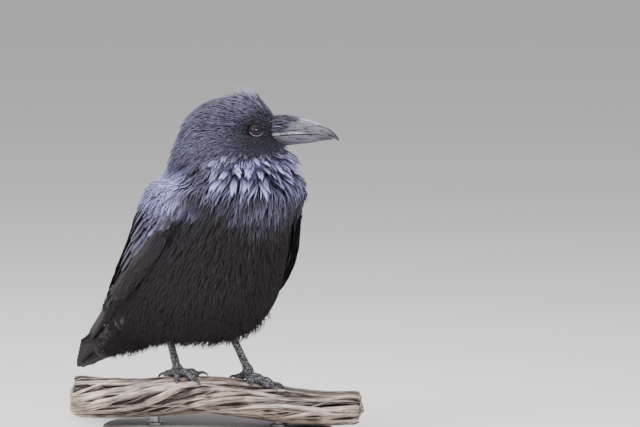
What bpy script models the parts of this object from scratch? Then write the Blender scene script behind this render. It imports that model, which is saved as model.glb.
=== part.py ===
"""A life-size common raven, standing on a short cut length of driftwood on a plain round stand.

Frame: metres, +Z up, the origin at the centre of the stand's underside, +X the way the trunk
faces, +Y the bird's left. Rows of sizes are in millimetres, counted from the perch's crest.
"""

import math

import bmesh
import bpy
import numpy as np
from mathutils import Matrix, Vector

MM = 0.001
GAP = 0.3 * MM                      # clearance kept between neighbouring solids

# ---------------------------------------------------------------- stand and perch
BASE_RADIUS = 115 * MM
BASE_THICKNESS = 16 * MM
BASE_BEVEL = 2.5 * MM
ROD_RADIUS = 5 * MM
ROD_OFFSET = 62 * MM                # each rod from the middle of the perch, along it
PERCH_LENGTH = 286 * MM
PERCH_WIDE = 41 * MM                # half its width, a flat-topped old root
PERCH_THICK = 18 * MM               # half its thickness
PERCH_HEIGHT = 13 * MM              # air between the base and the perch
PERCH_HEADING = math.radians(55)    # the perch crosses under the bird at this angle to +X
PERCH_SLOPE = 0.045                 # it falls towards the bird's left foot
PERCH_SWAY = 7 * MM                 # side to side wander of its axis
PERCH_LOBES = 6
PERCH_LOBE_DEPTH = 0.1              # of the half sizes
PERCH_TWIST = math.radians(75)      # from end to end
CREST = BASE_THICKNESS + PERCH_HEIGHT + 2 * PERCH_THICK

# ---------------------------------------------------------------- trunk and neck
# Rows run from inside the head down the neck and along the trunk to the tail coverts:
# back x, back z, front or belly x, belly z, half width.
BODY_ROWS = (
    (0, 272, 26, 272, 16),
    (-22, 255, 48, 251, 36),
    (-37, 233, 85, 228, 56),
    (-46, 209, 96, 206, 62),
    (-66, 190, 99, 184, 65),
    (-82, 157, 80, 150, 65),
    (-97, 121, 69, 112, 70),
    (-119, 91, 48, 68, 71),
    (-139, 70, 4, 37, 66),
    (-154, 57, -62, 33, 52),
    (-168, 46, -114, 25, 41),
    (-182, 35, -152, 13, 33),
    (-194, 23, -184, 5, 21),
)
BODY_FULLNESS = 0.08                # how much wider the belly side is than the back side
BODY_TRIANGLES = 1500               # of head, neck and trunk before they are cut

# ---------------------------------------------------------------- head
HEAD_HEADING = math.radians(50)     # the head looks over the bird's left shoulder
EYE_POINT = (35.5, 20.5, 248.5)     # middle of the head between the eyes
# Rows run back from the bill along the head: crown reach, crown z, throat reach, throat z, half width.
HEAD_ROWS = (
    (23, 9, 21, -14, 8),
    (20, 16, 17, -19, 14),
    (14, 24, 9, -23, 19.5),
    (6, 31, -2, -25, 23),
    (-6, 36, -15, -29, 27),
    (-20, 33.5, -24, -32, 29),
    (-39, 32, -36, -36, 31),
    (-55, 24, -50, -42, 33),
    (-67, 11, -61, -46, 33),
    (-74, -4, -67, -46, 27),
)
EYE_RADIUS = 8.6
EYE_SIDE = 17.4                     # centre of each eye from the middle of the head

# ---------------------------------------------------------------- bill
# Rows run from the face to the tip: reach, culmen or cutting edge z, lower z, half width.
UPPER_BILL_ROWS = (
    (8, 9.5, -5.5, 9.5),
    (18, 13, -4.6, 10),
    (28, 14.6, -3.6, 9.2),
    (40, 14.6, -2.8, 8),
    (51, 13, -2.5, 6.6),
    (62, 9.8, -2.8, 5.2),
    (71, 5.6, -3.9, 4),
    (78, 1, -5.6, 2.7),
    (83, -4, -8.2, 1.4),
    (85, -7.6, -9.8, 0.5),
)
LOWER_BILL_ROWS = (
    (6, -6.3, -14.5, 8.2),
    (18, -5.3, -16.2, 8.4),
    (28, -4.3, -15.3, 7.8),
    (40, -3.5, -13.8, 6.7),
    (54, -3.1, -12.4, 5.2),
    (66, -3.9, -10.2, 3.7),
    (74, -5.2, -8.7, 2.4),
    (79, -6.8, -8.1, 1),
)

# ---------------------------------------------------------------- wings
# Rows run down the arm of the wing: place along the body rows, front edge and rear edge in degrees
# round the body from the back, thickness.
WING_ROWS = (
    (3.4, 98, 74, 2),
    (3.62, 115, 52, 7),
    (4.05, 121, 36, 11),
    (4.7, 116, 22, 12.5),
    (5.5, 108, 14, 14),
    (6.3, 97, 10, 14),
    (7.1, 81, 9, 13),
    (7.8, 73, 10, 11),
    (8.5, 65, 13, 9),
    (9.05, 52, 20, 5),
    (9.3, 43, 27, 2),
)
WING_SWING = {"left": 21, "right": -8}  # degrees that each wing hangs further forward
WING_SINK = 5                       # how deep its inner face beds into the trunk
WING_TRIANGLES = 400
# Rows run down the right wing's folded primaries: x, y, z, half width, half thickness.
PRIMARY_ROWS = (
    (-85, -56, 92, 7, 2.5),
    (-105, -47, 77, 14, 4),
    (-131, -37, 58, 15, 4.2),
    (-160, -29, 39, 14, 3.6),
    (-184, -26, 27, 11, 2.8),
    (-198, -25, 21, 7, 2),
    (-204, -25, 18.5, 2.5, 1.2),
)
PRIMARY_FACING = (-0.25, -0.62, 0.74)   # the way the bundle's flat side looks

# ---------------------------------------------------------------- tail
TAIL_ROOT = (-95, 0, 57)
TAIL_TIP = (-246, 0, -14)
TAIL_HALF_WIDTH = 35
TAIL_THICKNESS = 9
TAIL_WEDGE = 30                     # the outer feathers end this much short of the middle ones
TAIL_DROOP = 5                      # the outer edges hang below the middle

# ---------------------------------------------------------------- legs
TARSUS_RADIUS = 4.1
LEG_TRIANGLES = 440
FOOT_HEIGHT = 8                     # the ankle's ball stands this far above the perch
FOOT_BACK = 7                       # and this far behind the middle of the perch
FEET = {                            # foot on the perch from its middle, mm along it; the hock's x, y, z
    "right": (-41, (-50, -30, 58)),
    "left": (31, (-16, 20, 55)),
}
# Toe: heading from +X towards the bird's left for a left foot, length, radius at the root, claw length.
TOES = {
    "hallux": (180, 22, 4.5, 16),
    "inner": (-30, 25, 4.2, 12),
    "middle": (4, 36, 4.3, 13),
    "outer": (34, 29, 4.0, 11),
}
CLAW_RADIUS = 2.2
CLAW_HOOK = 0.2                     # how high a claw arches, of its length
TOE_PRESS = 0.55                    # height of a toe's middle over the wood, of its radius

# ---------------------------------------------------------------- cuts between head, neck and trunk
HEAD_CUT = ((24, 0, 230), (0.04, 0.06, 1.0))
NECK_CUT = ((20, 0, 183), (0.2, 0.0, 1.0))

COLOURS = {
    "plumage": ((0.018, 0.018, 0.022), 0.5, 0.0),
    "flight": ((0.014, 0.013, 0.016), 0.35, 0.0),
    "bill": ((0.045, 0.045, 0.05), 0.35, 0.0),
    "eye": ((0.012, 0.007, 0.005), 0.05, 0.0),
    "leg": ((0.03, 0.03, 0.034), 0.5, 0.0),
    "claw": ((0.02, 0.02, 0.023), 0.3, 0.0),
    "driftwood": ((0.32, 0.27, 0.23), 0.9, 0.0),
    "stand": ((0.42, 0.4, 0.37), 0.5, 0.0),
    "rod": ((0.25, 0.25, 0.26), 0.35, 0.9),
}


def material(name):
    """The named finish, made once."""
    made = bpy.data.materials.get(name)
    if made:
        return made
    colour, roughness, metallic = COLOURS[name]
    made = bpy.data.materials.new(name)
    made.use_nodes = True
    shader = made.node_tree.nodes["Principled BSDF"]
    shader.inputs["Base Color"].default_value = (*colour, 1)
    shader.inputs["Roughness"].default_value = roughness
    shader.inputs["Metallic"].default_value = metallic
    return made


def clear_scene():
    for obj in list(bpy.data.objects):
        bpy.data.objects.remove(obj)
    for name in ("raven", "cutters"):
        made = bpy.data.collections.new(name)
        bpy.context.scene.collection.children.link(made)


# ---------------------------------------------------------------- curves through rows of sizes
def between(rows, place):
    """The rows' values at a place counted in rows, on a smooth curve through them."""
    last = len(rows) - 1
    place = min(max(place, 0.0), float(last))
    i = min(int(place), last - 1)
    t = place - i
    before, a, b, after = (rows[min(max(i + k, 0), last)] for k in (-1, 0, 1, 2))
    return tuple(
        0.5 * (2 * q + (r - p) * t + (2 * p - 5 * q + 4 * r - s) * t**2 + (3 * q - p - 3 * r + s) * t**3)
        for p, q, r, s in zip(before, a, b, after)
    )


def crest(point):
    """A point in millimetres from the perch's crest, in the frame."""
    return Vector(point) * MM + Vector((0, 0, CREST))


def body_axes(place):
    """Middle, half axis towards the back and half width of the body's ring at this place."""
    back_x, back_z, belly_x, belly_z, half_width = between(BODY_ROWS, place)
    back, belly = crest((back_x, 0, back_z)), crest((belly_x, 0, belly_z))
    return (back + belly) / 2, (back - belly) / 2, half_width * MM


def body_point(place, angle, lift=0.0, side=-1):
    """A point of the body's ring: angle 0 on the back, pi on the belly, lifted off it by lift millimetres."""
    middle, to_back, half_width = body_axes(place)
    fullness = 1 - BODY_FULLNESS * math.cos(angle)
    point = middle + to_back * math.cos(angle) + Vector((0, side * half_width * fullness * math.sin(angle), 0))
    across = side * math.sin(angle) / half_width
    outward = to_back.normalized() * (math.cos(angle) / to_back.length) + Vector((0, across, 0))
    return point + outward.normalized() * (lift * MM)


# ---------------------------------------------------------------- making solids
def new_object(name, mesh, finish, collection="raven"):
    obj = bpy.data.objects.new(name, mesh)
    bpy.data.collections[collection].objects.link(obj)
    if finish:
        mesh.materials.append(material(finish))
    return obj


def loft(name, rings, finish, collection="raven"):
    """A closed solid through rings of equally many points, with a flat cap at each end."""
    shape = bmesh.new()
    loops = [[shape.verts.new(point) for point in ring] for ring in rings]
    for near, far in zip(loops, loops[1:]):
        for i in range(len(near)):
            j = (i + 1) % len(near)
            shape.faces.new((near[i], near[j], far[j], far[i]))
    shape.faces.new(list(reversed(loops[0])))
    shape.faces.new(loops[-1])
    bmesh.ops.recalc_face_normals(shape, faces=shape.faces)
    mesh = bpy.data.meshes.new(name)
    shape.to_mesh(mesh)
    shape.free()
    mesh.shade_smooth()
    return new_object(name, mesh, finish, collection)


def tube(name, path, radii, finish, sides=10, collection="raven", flatten=1.0):
    """A tapering tube along a path, its rings square to the path."""
    rings = []
    for i, point in enumerate(path):
        ahead = path[min(i + 1, len(path) - 1)] - path[max(i - 1, 0)]
        side = ahead.cross(Vector((0, 0, 1)))
        side = side.normalized() if side.length > 1e-6 else Vector((0, 1, 0))
        over = side.cross(ahead).normalized()
        turns = [math.tau * k / sides for k in range(sides)]
        rings.append([point + radii[i] * (side * math.cos(a) + over * (flatten * math.sin(a))) for a in turns])
    return loft(name, rings, finish, collection)


def baked(obj):
    """Applies the object's modifiers."""
    graph = bpy.context.evaluated_depsgraph_get()
    mesh = bpy.data.meshes.new_from_object(obj.evaluated_get(graph))
    obj.modifiers.clear()
    obj.data = mesh
    return obj


def joined(name, parts, finish, voxel, smoothing, triangles):
    """One skin over overlapping parts, smoothed and thinned to about that many triangles."""
    shape = bmesh.new()
    for part in parts:
        shape.from_mesh(part.data)
        bpy.data.objects.remove(part)
    mesh = bpy.data.meshes.new(name)
    shape.to_mesh(mesh)
    shape.free()
    obj = new_object(name, mesh, finish)
    remesh = obj.modifiers.new("one skin", "REMESH")
    remesh.mode = "VOXEL"
    remesh.voxel_size = voxel
    smooth = obj.modifiers.new("soften", "SMOOTH")
    smooth.factor = 0.5
    smooth.iterations = smoothing
    baked(obj)
    thin = obj.modifiers.new("thin", "DECIMATE")
    thin.ratio = min(1.0, triangles / sum(len(face.vertices) - 2 for face in obj.data.polygons))
    thin.use_collapse_triangulate = True
    baked(obj)
    obj.data.shade_smooth()
    return obj


def keep_side(obj, point, normal):
    """Cuts the solid by a plane, keeps what lies along the normal and closes the cut."""
    shape = bmesh.new()
    shape.from_mesh(obj.data)
    geometry = shape.verts[:] + shape.edges[:] + shape.faces[:]
    bmesh.ops.bisect_plane(shape, geom=geometry, plane_co=point, plane_no=normal, clear_inner=True)
    rim = [edge for edge in shape.edges if edge.is_boundary]
    bmesh.ops.edgeloop_fill(shape, edges=rim)
    bmesh.ops.triangulate(shape, faces=[face for face in shape.faces if len(face.verts) > 4])
    bmesh.ops.recalc_face_normals(shape, faces=shape.faces)
    shape.to_mesh(obj.data)
    shape.free()


def keep_largest(obj):
    """Drops the crumbs that a cut can leave beside the solid."""
    shape = bmesh.new()
    shape.from_mesh(obj.data)
    waiting = set(shape.verts)
    pieces = []
    while waiting:
        piece, edge = set(), {waiting.pop()}
        while edge:
            piece |= edge
            waiting -= edge
            edge = {link.other_vert(vert) for vert in edge for link in vert.link_edges} - piece
        pieces.append(piece)
    pieces.sort(key=len)
    bmesh.ops.delete(shape, geom=[vert for piece in pieces[:-1] for vert in piece], context="VERTS")
    shape.to_mesh(obj.data)
    shape.free()


def copy_of(obj, name):
    return new_object(name, obj.data.copy(), None)


def room_for(obj):
    """A cutter: the solid with each face moved out by the clearance."""
    shape = bmesh.new()
    shape.from_mesh(obj.data)
    moves = []
    for vert in shape.verts:
        normals = np.array([face.normal[:] for face in vert.link_faces])
        move = Vector(np.linalg.lstsq(normals, np.full(len(normals), GAP), rcond=0.2)[0])
        moves.append(move if move.length < 3 * GAP else move.normalized() * (3 * GAP))
    for vert, move in zip(shape.verts, moves):
        vert.co += move
    mesh = bpy.data.meshes.new(obj.name + "_room")
    shape.to_mesh(mesh)
    shape.free()
    cutter = new_object(obj.name + "_room", mesh, None, "cutters")
    cutter.hide_render = True
    cutter.display_type = "WIRE"
    return cutter


def cut(obj, *rooms):
    """Takes each room out of the solid.

    A grown cutter crosses itself in its tight corners, where EXACT empties the solid.
    """
    for room in rooms:
        change = obj.modifiers.new(room.name, "BOOLEAN")
        change.operation = "DIFFERENCE"
        change.solver = "MANIFOLD"
        change.object = room
        baked(obj)
    keep_largest(obj)


# ---------------------------------------------------------------- head, neck and trunk
HEAD_FORWARD = Vector((math.cos(HEAD_HEADING), math.sin(HEAD_HEADING), 0))
HEAD_LEFT = Vector((-math.sin(HEAD_HEADING), math.cos(HEAD_HEADING), 0))


def head_point(reach, side, height):
    """A point in the head's own frame: millimetres forward, to its left and up from between the eyes."""
    return crest(EYE_POINT) + (HEAD_FORWARD * reach + HEAD_LEFT * side + Vector((0, 0, height))) * MM


def head_loft():
    rings = []
    for step in range(33):
        crown, crown_z, throat, throat_z, half = between(HEAD_ROWS, step * (len(HEAD_ROWS) - 1) / 32)
        ring = []
        for k in range(32):
            angle = math.tau * k / 32
            along = math.cos(angle)
            ring.append(head_point(
                (crown + throat) / 2 + (crown - throat) / 2 * along,
                half * math.sin(angle),
                (crown_z + throat_z) / 2 + (crown_z - throat_z) / 2 * along,
            ))
        rings.append(ring)
    return loft("head_form", rings, None)


def body_loft():
    rings = []
    for step in range(67):
        place = step * (len(BODY_ROWS) - 1) / 66
        rings.append([body_point(place, math.tau * k / 40) for k in range(40)])
    return loft("body_form", rings, None)


def head_neck_and_trunk():
    whole = joined("trunk", [head_loft(), body_loft()], "plumage", 3.2 * MM, 9, BODY_TRIANGLES)
    head, neck = copy_of(whole, "head"), copy_of(whole, "neck")
    for obj in (head, neck):
        obj.data.materials.clear()
        obj.data.materials.append(material("plumage"))
    (high, high_normal), (low, low_normal) = ((crest(p), Vector(n).normalized()) for p, n in (HEAD_CUT, NECK_CUT))
    keep_side(head, high + high_normal * GAP / 2, high_normal)
    keep_side(neck, high - high_normal * GAP / 2, -high_normal)
    keep_side(neck, low + low_normal * GAP / 2, low_normal)
    keep_side(whole, low - low_normal * GAP / 2, -low_normal)
    return head, neck, whole


# ---------------------------------------------------------------- bill and eyes
def bill_half(name, rows, upper):
    """One half of the bill: an arch above the cutting edge, or a keel below it."""
    rings = []
    steps = (len(rows) - 1) * 2
    for step in range(steps + 1):
        reach, top, bottom, half = between(rows, step * (len(rows) - 1) / steps)
        middle, rise = (bottom, top - bottom) if upper else (top, bottom - top)
        ring = []
        for k in range(9):
            angle = math.pi * k / 8
            flank = abs(math.cos(angle)) ** 0.8 * math.copysign(1, math.cos(angle))
            ring.append(head_point(reach, half * flank, middle + rise * math.sin(angle) ** 0.9))
        rings.append(ring)
    return loft(name, rings, "bill")


def eye(name, side):
    bpy.ops.mesh.primitive_uv_sphere_add(segments=12, ring_count=8, radius=EYE_RADIUS * MM)
    ball = bpy.context.object
    ball.name = name
    turn = Matrix.Rotation(HEAD_HEADING, 4, "Z") @ Matrix.Rotation(math.pi / 2, 4, "X")
    ball.data.transform(Matrix.Translation(head_point(0, side * EYE_SIDE, 0)) @ turn)
    ball.data.shade_smooth()
    ball.data.materials.append(material("eye"))
    for collection in list(ball.users_collection):
        collection.objects.unlink(ball)
    bpy.data.collections["raven"].objects.link(ball)
    return ball


# ---------------------------------------------------------------- wings
def wing_ring(place, side, front, rear, lift, sink, points=9):
    """The ring of a shell lying on the body from its front edge's angle to its rear edge's."""
    ring = []
    for k in range(points):
        share = k / (points - 1)
        swell = math.sin(math.pi * share) ** 0.3
        ring.append(body_point(place, front + (rear - front) * share, lift * (0.12 + 0.88 * swell), side))
    for k in range(1, points - 1, 2):
        share = 1 - k / (points - 1)
        ring.append(body_point(place, front + (rear - front) * share, -sink, side))
    return ring


def wing(name, side):
    rings = []
    steps = 30
    swing = WING_SWING["left" if side > 0 else "right"]
    for step in range(steps + 1):
        place, front, rear, lift = between(WING_ROWS, step * (len(WING_ROWS) - 1) / steps)
        sink = min(WING_SINK, lift)
        share = math.sin(math.pi * step / steps)
        rings.append(wing_ring(
            place, side, math.radians(front + swing * share), math.radians(rear), lift, sink
        ))
    return joined(name, [loft("arm", rings, None)], "flight", 1.5 * MM, 2, WING_TRIANGLES)


def primaries(name, side):
    rings = []
    steps = 10
    rows = [between(PRIMARY_ROWS, step * (len(PRIMARY_ROWS) - 1) / steps) for step in range(steps + 1)]
    path = [crest((x, -side * y, z)) for x, y, z, _, _ in rows]
    facing = Vector((PRIMARY_FACING[0], -side * PRIMARY_FACING[1], PRIMARY_FACING[2])).normalized()
    for i, (_, _, _, half_width, half_thickness) in enumerate(rows):
        ahead = (path[min(i + 1, steps)] - path[max(i - 1, 0)]).normalized()
        across = ahead.cross(facing).normalized()
        over = across.cross(ahead)
        turns = [math.tau * k / 8 for k in range(8)]
        rings.append([
            path[i] + (across * (half_width * math.cos(a)) + over * (half_thickness * math.sin(a))) * MM
            for a in turns
        ])
    return loft(name, rings, "flight")


# ---------------------------------------------------------------- tail
def tail():
    root, tip = crest(TAIL_ROOT), crest(TAIL_TIP)
    along = tip - root
    over = Vector((-along.z, 0, along.x)).normalized() * -1
    rings = []
    steps = 11
    for step in range(steps + 1):
        t = step / steps
        spread = TAIL_HALF_WIDTH * (0.62 + 0.38 * min(t / 0.6, 1.0)) * MM
        thick = TAIL_THICKNESS * (1 - 0.55 * t) / 2 * MM
        short = TAIL_WEDGE * MM * t**2
        round_end = math.sqrt(1 - 0.75 * max((t - 0.8) / 0.2, 0.0) ** 2)
        ring = []
        for face in (1, -1):
            for k in range(7):
                across = (1 - k / 3) * face
                edge = (1 - abs(across) ** 4) * 0.8 + 0.2
                sag = over * (-TAIL_DROOP * MM * across**2 * (0.4 + 0.6 * t))
                point = root + along * t - along.normalized() * (short * across**2)
                side = Vector((0, across * spread * round_end, 0))
                ring.append(point + side + sag + over * (face * thick * edge))
        rings.append([point for i, point in enumerate(ring) if i not in (7, 13)])
    return loft("tail", rings, "flight")


# ---------------------------------------------------------------- perch
PERCH_ALONG = Vector((math.cos(PERCH_HEADING), math.sin(PERCH_HEADING), -PERCH_SLOPE)).normalized()
PERCH_ACROSS = Vector((math.sin(PERCH_HEADING), -math.cos(PERCH_HEADING), 0))
PERCH_UP = PERCH_ACROSS.cross(PERCH_ALONG).normalized()
if PERCH_UP.z < 0:
    PERCH_UP.negate()


def perch_axis(reach):
    """A point of the perch's axis, reach metres along it from its middle."""
    phase = math.pi * reach / PERCH_LENGTH
    middle = Vector((0, 0, CREST - PERCH_THICK))
    sway = PERCH_ACROSS * (PERCH_SWAY * math.sin(2.1 * phase))
    rise = PERCH_UP * (0.6 * PERCH_SWAY * (math.cos(2.6 * phase) - 1))
    return middle + PERCH_ALONG * reach + sway + rise


def perch_swell(reach, angle):
    """How full the perch is here: it thins towards its left end and is lobed like grown-together roots."""
    share = reach / PERCH_LENGTH
    lobes = math.cos(PERCH_LOBES * (angle + PERCH_TWIST * share))
    return 1 - 0.16 * share + PERCH_LOBE_DEPTH * (lobes - 1) / 2


def perch_point(reach, angle, lift=0.0):
    """A point round the perch: angle 0 on its crest, turning towards the way the bird faces."""
    across, up = PERCH_WIDE * math.sin(angle), PERCH_THICK * math.cos(angle)
    outward = PERCH_ACROSS * (across / PERCH_WIDE**2) + PERCH_UP * (up / PERCH_THICK**2)
    surface = (PERCH_ACROSS * across + PERCH_UP * up) * perch_swell(reach, angle)
    return perch_axis(reach) + surface + outward.normalized() * lift


def perch():
    rings = []
    for step in range(19):
        reach = PERCH_LENGTH * (step / 18 - 0.5)
        rings.append([perch_point(reach, math.tau * k / 20) for k in range(20)])
    return loft("perch", rings, "driftwood")


# ---------------------------------------------------------------- legs and claws
def over_perch(foot_reach, heading, out, lift):
    """A point over the wood, out metres from the foot along a heading, wrapped round the perch."""
    course = math.radians(heading) - PERCH_HEADING
    angle = -math.asin(FOOT_BACK * MM / PERCH_WIDE)
    for _ in range(16):
        pace = math.hypot(PERCH_WIDE * math.cos(angle), PERCH_THICK * math.sin(angle))
        angle -= out * math.sin(course) / (16 * pace)
    return perch_point(foot_reach + out * math.cos(course), angle, lift)


def toe_path(foot_reach, heading, length, radius, steps=7):
    """Points of a toe that lies over the perch from the foot, its underside pressed to the wood."""
    path = []
    for step in range(steps + 1):
        t = step / steps
        arch = 1.6 * math.sin(math.pi * t) + 2.2 * (1 - t) ** 2
        path.append(over_perch(foot_reach, heading, length * t * MM, (radius * TOE_PRESS + arch) * MM))
    return path


def leg(side_name, side):
    """Tarsus, foot and toes in one skin, and its four claws."""
    reach, hock = FEET[side_name]
    reach *= MM
    ankle = over_perch(reach, 0.0, 0.0, FOOT_HEIGHT * MM)
    parts, claws = [], []
    hock = crest(hock)
    shank = [ankle.lerp(hock, t) for t in (-0.05, 0.0, 0.08, 0.25, 0.5, 0.75, 0.93)]
    radii = [TARSUS_RADIUS * MM * r for r in (1.1, 1.35, 1.15, 0.95, 0.92, 1.05, 1.25)]
    parts.append(tube("shank", shank, radii, None, 12))
    for toe, (heading, length, radius, claw_length) in TOES.items():
        path = toe_path(reach, side * heading, length, radius)
        widths = [radius * MM * w for w in (1.15, 1.0, 0.92, 1.04, 0.86, 0.98, 0.8, 0.62)]
        path.insert(0, ankle)
        widths.insert(0, TARSUS_RADIUS * MM)
        parts.append(tube(toe, path, widths, None, 10, flatten=0.95))
        name = f"claw_{side_name}_{toe}"
        claws.append(claw(name, reach, side * heading, length, radius, claw_length))
    return joined("leg_" + side_name, parts, "leg", 1.15 * MM, 3, LEG_TRIANGLES), claws


def claw(name, foot_reach, heading, toe_length, toe_radius, length):
    """A hooked claw that goes on from the end of a toe and comes down to the wood."""
    points, widths = [], []
    steps = 5
    for step in range(steps + 1):
        t = step / steps
        radius = CLAW_RADIUS * (1 - 0.85 * t**1.3)
        hook = CLAW_HOOK * length * math.sin(math.pi * t**0.8)
        lift = radius + hook + (toe_radius * TOE_PRESS - CLAW_RADIUS) * (1 - t)
        out = toe_length - 0.5 * toe_radius + length * math.sin(0.5 * math.pi * t)
        points.append(over_perch(foot_reach, heading, out * MM, lift * MM + GAP))
        widths.append(radius * MM)
    return tube(name, points, widths, "claw", 6)


# ---------------------------------------------------------------- stand
def stand():
    bpy.ops.mesh.primitive_cylinder_add(vertices=44, radius=BASE_RADIUS, depth=BASE_THICKNESS)
    base = bpy.context.object
    base.name = "stand_base"
    base.data.transform(Matrix.Translation((0, 0, BASE_THICKNESS / 2)))
    base.data.materials.append(material("stand"))
    bevel = base.modifiers.new("soft rim", "BEVEL")
    bevel.width = BASE_BEVEL
    bevel.segments = 1
    bevel.limit_method = "ANGLE"
    pieces = [baked(base)]
    for number, reach in ((1, -ROD_OFFSET), (2, ROD_OFFSET)):
        top = perch_axis(reach)
        height = top.z - BASE_THICKNESS - GAP
        bpy.ops.mesh.primitive_cylinder_add(vertices=16, radius=ROD_RADIUS, depth=height)
        rod = bpy.context.object
        rod.name = f"stand_rod_{number}"
        rod.data.transform(Matrix.Translation((top.x, top.y, BASE_THICKNESS + GAP + height / 2)))
        rod.data.materials.append(material("rod"))
        pieces.append(rod)
    for obj in pieces:
        for collection in list(obj.users_collection):
            collection.objects.unlink(obj)
        bpy.data.collections["raven"].objects.link(obj)
    return pieces


def main():
    clear_scene()
    head, neck, trunk = head_neck_and_trunk()
    face = [
        bill_half("bill_upper", UPPER_BILL_ROWS, True),
        bill_half("bill_lower", LOWER_BILL_ROWS, False),
        eye("eye_left", 1),
        eye("eye_right", -1),
    ]
    cut(head, *(room_for(piece) for piece in face))
    tail_room = room_for(tail())
    log = perch()
    for side_name, side in (("left", 1), ("right", -1)):
        arm = wing("wing_" + side_name, side)
        hand = primaries("primaries_" + side_name, side)
        arm_room, hand_room = room_for(arm), room_for(hand)
        cut(hand, tail_room)
        cut(arm, hand_room, tail_room)
        cut(neck, arm_room)
        limb, claws = leg(side_name, side)
        limb_room = room_for(limb)
        claw_rooms = [room_for(claw) for claw in claws]
        cut(limb, *claw_rooms)
        cut(trunk, arm_room, hand_room, limb_room)
        cut(log, limb_room, *claw_rooms)
    cut(trunk, tail_room)
    log_room = room_for(log)
    _, *rods = stand()
    for rod in rods:
        cut(rod, log_room)


main()
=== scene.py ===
"""Looks of a life-size common raven on a short cut length of driftwood, held by a plain round stand.

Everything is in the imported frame, in metres: +Z up, +X the way the trunk faces, +Y the bird's left.
Measures times MM are written in millimetres, and so are those that the functions for feathers take.
"""

import math

import bmesh
import bpy
import numpy as np
from bpy.props import FloatProperty, FloatVectorProperty, IntProperty, PointerProperty
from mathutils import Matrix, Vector
from mathutils.bvhtree import BVHTree


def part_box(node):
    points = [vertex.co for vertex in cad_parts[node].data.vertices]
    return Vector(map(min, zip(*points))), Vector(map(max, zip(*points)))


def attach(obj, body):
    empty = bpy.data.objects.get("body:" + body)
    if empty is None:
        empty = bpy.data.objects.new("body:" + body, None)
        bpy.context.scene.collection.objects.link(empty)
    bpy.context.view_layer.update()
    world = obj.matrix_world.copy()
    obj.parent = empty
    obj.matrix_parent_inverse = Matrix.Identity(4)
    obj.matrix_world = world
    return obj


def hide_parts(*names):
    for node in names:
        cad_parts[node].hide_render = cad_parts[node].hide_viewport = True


bl_info = {
    "name": "Raven on driftwood",
    "version": (1, 0, 0),
    "blender": (4, 5, 0),
    "location": "3D View > Sidebar > Raven",
    "description": "Dresses the packed raven with skin, feathers, eyes, bill, legs, driftwood and stand",
    "category": "Object",
}

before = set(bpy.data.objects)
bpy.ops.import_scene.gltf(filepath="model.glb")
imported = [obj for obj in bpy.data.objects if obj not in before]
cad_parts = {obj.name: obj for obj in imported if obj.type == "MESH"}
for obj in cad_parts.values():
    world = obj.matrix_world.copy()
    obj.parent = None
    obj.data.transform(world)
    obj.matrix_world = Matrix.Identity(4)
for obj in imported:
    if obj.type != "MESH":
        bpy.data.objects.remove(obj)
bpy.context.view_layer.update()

MM = 0.001
UP = Vector((0, 0, 1))
UP_WAY = np.array(UP)
PATCH = 0.003                       # width of a tuft's patch on its unwrap
SIDES = {"left": 1, "right": -1}
TOES = ("hallux", "inner", "middle", "outer")


# ---- places, from the frame
def middle_of(node):
    low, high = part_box(node)
    return (low + high) / 2


def points_of(node):
    return np.array([vert.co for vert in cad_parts[node].data.vertices])


EYE_BALL = (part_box("eye_left")[1].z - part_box("eye_left")[0].z) / 2
HEAD_MIDDLE = (middle_of("eye_left") + middle_of("eye_right")) / 2
HEAD_LEFT = (middle_of("eye_left") - middle_of("eye_right")).normalized()
HEAD_FORWARD = HEAD_LEFT.cross(UP).normalized()
HEAD_AXES = np.array([HEAD_FORWARD, HEAD_LEFT, UP])
CREST = 65 * MM                     # height of the perch's crest under the bird
TRUNK_DOWN = Vector((-0.52, 0.0, -0.86)).normalized()   # the lie of the coat on the trunk
# From the tail's root to the face, in mm from the crest, for the coat's unwrap.
BODY_SPINE = (
    (-175, 0, 28), (-110, 0, 55), (-50, 0, 105), (-5, 0, 165), (8, 3, 212), (20, 10, 240), (50, 35, 250),
)


def crest(point):
    """A point in millimetres from the perch's crest, in the frame."""
    return Vector(point) * MM + Vector((0, 0, CREST))


def head_point(reach, side, height):
    """A point in the head's own frame: millimetres forward, to its left and up from between the eyes."""
    return HEAD_MIDDLE + (HEAD_FORWARD * reach + HEAD_LEFT * side + UP * height) * MM


def head_local(points):
    """Reach, side and height in millimetres of points in the head's own frame."""
    return (points - np.array(HEAD_MIDDLE)) @ HEAD_AXES.T / MM


def unit(vectors):
    return vectors / np.maximum(np.linalg.norm(vectors, axis=-1, keepdims=True), 1e-12)


def flattened(ways, normals):
    """The ways laid down on a surface with these normals."""
    return unit(ways - normals * (ways * normals).sum(axis=1, keepdims=True))


def long_axis(points, towards):
    """The middle of the points, and the way they run, taken towards this side."""
    middle = points.mean(axis=0)
    way = np.linalg.svd(points - middle, full_matrices=False)[2][0]
    return middle, way if way @ towards > 0 else -way


def ramp(values, start, end):
    """A smooth step from 0 at start to 1 at end, which may run downwards."""
    t = np.clip((values - start) / (end - start), 0, 1)
    return t * t * (3 - 2 * t)


def bump(values, middle, reach):
    """1 at the middle, falling smoothly to 0 a reach away."""
    return 1 - ramp(np.abs(values - middle), 0, reach)


# ---- settings a user would change
def colour_setting(name, about, default):
    return FloatVectorProperty(name=name, description=about, subtype="COLOR", default=default)


def length_setting(name, about, default, low, high):
    """A length whose default and limits are in millimetres."""
    return FloatProperty(name=name, description=about, subtype="DISTANCE", default=default * MM, min=low * MM,
                         max=high * MM)


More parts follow.
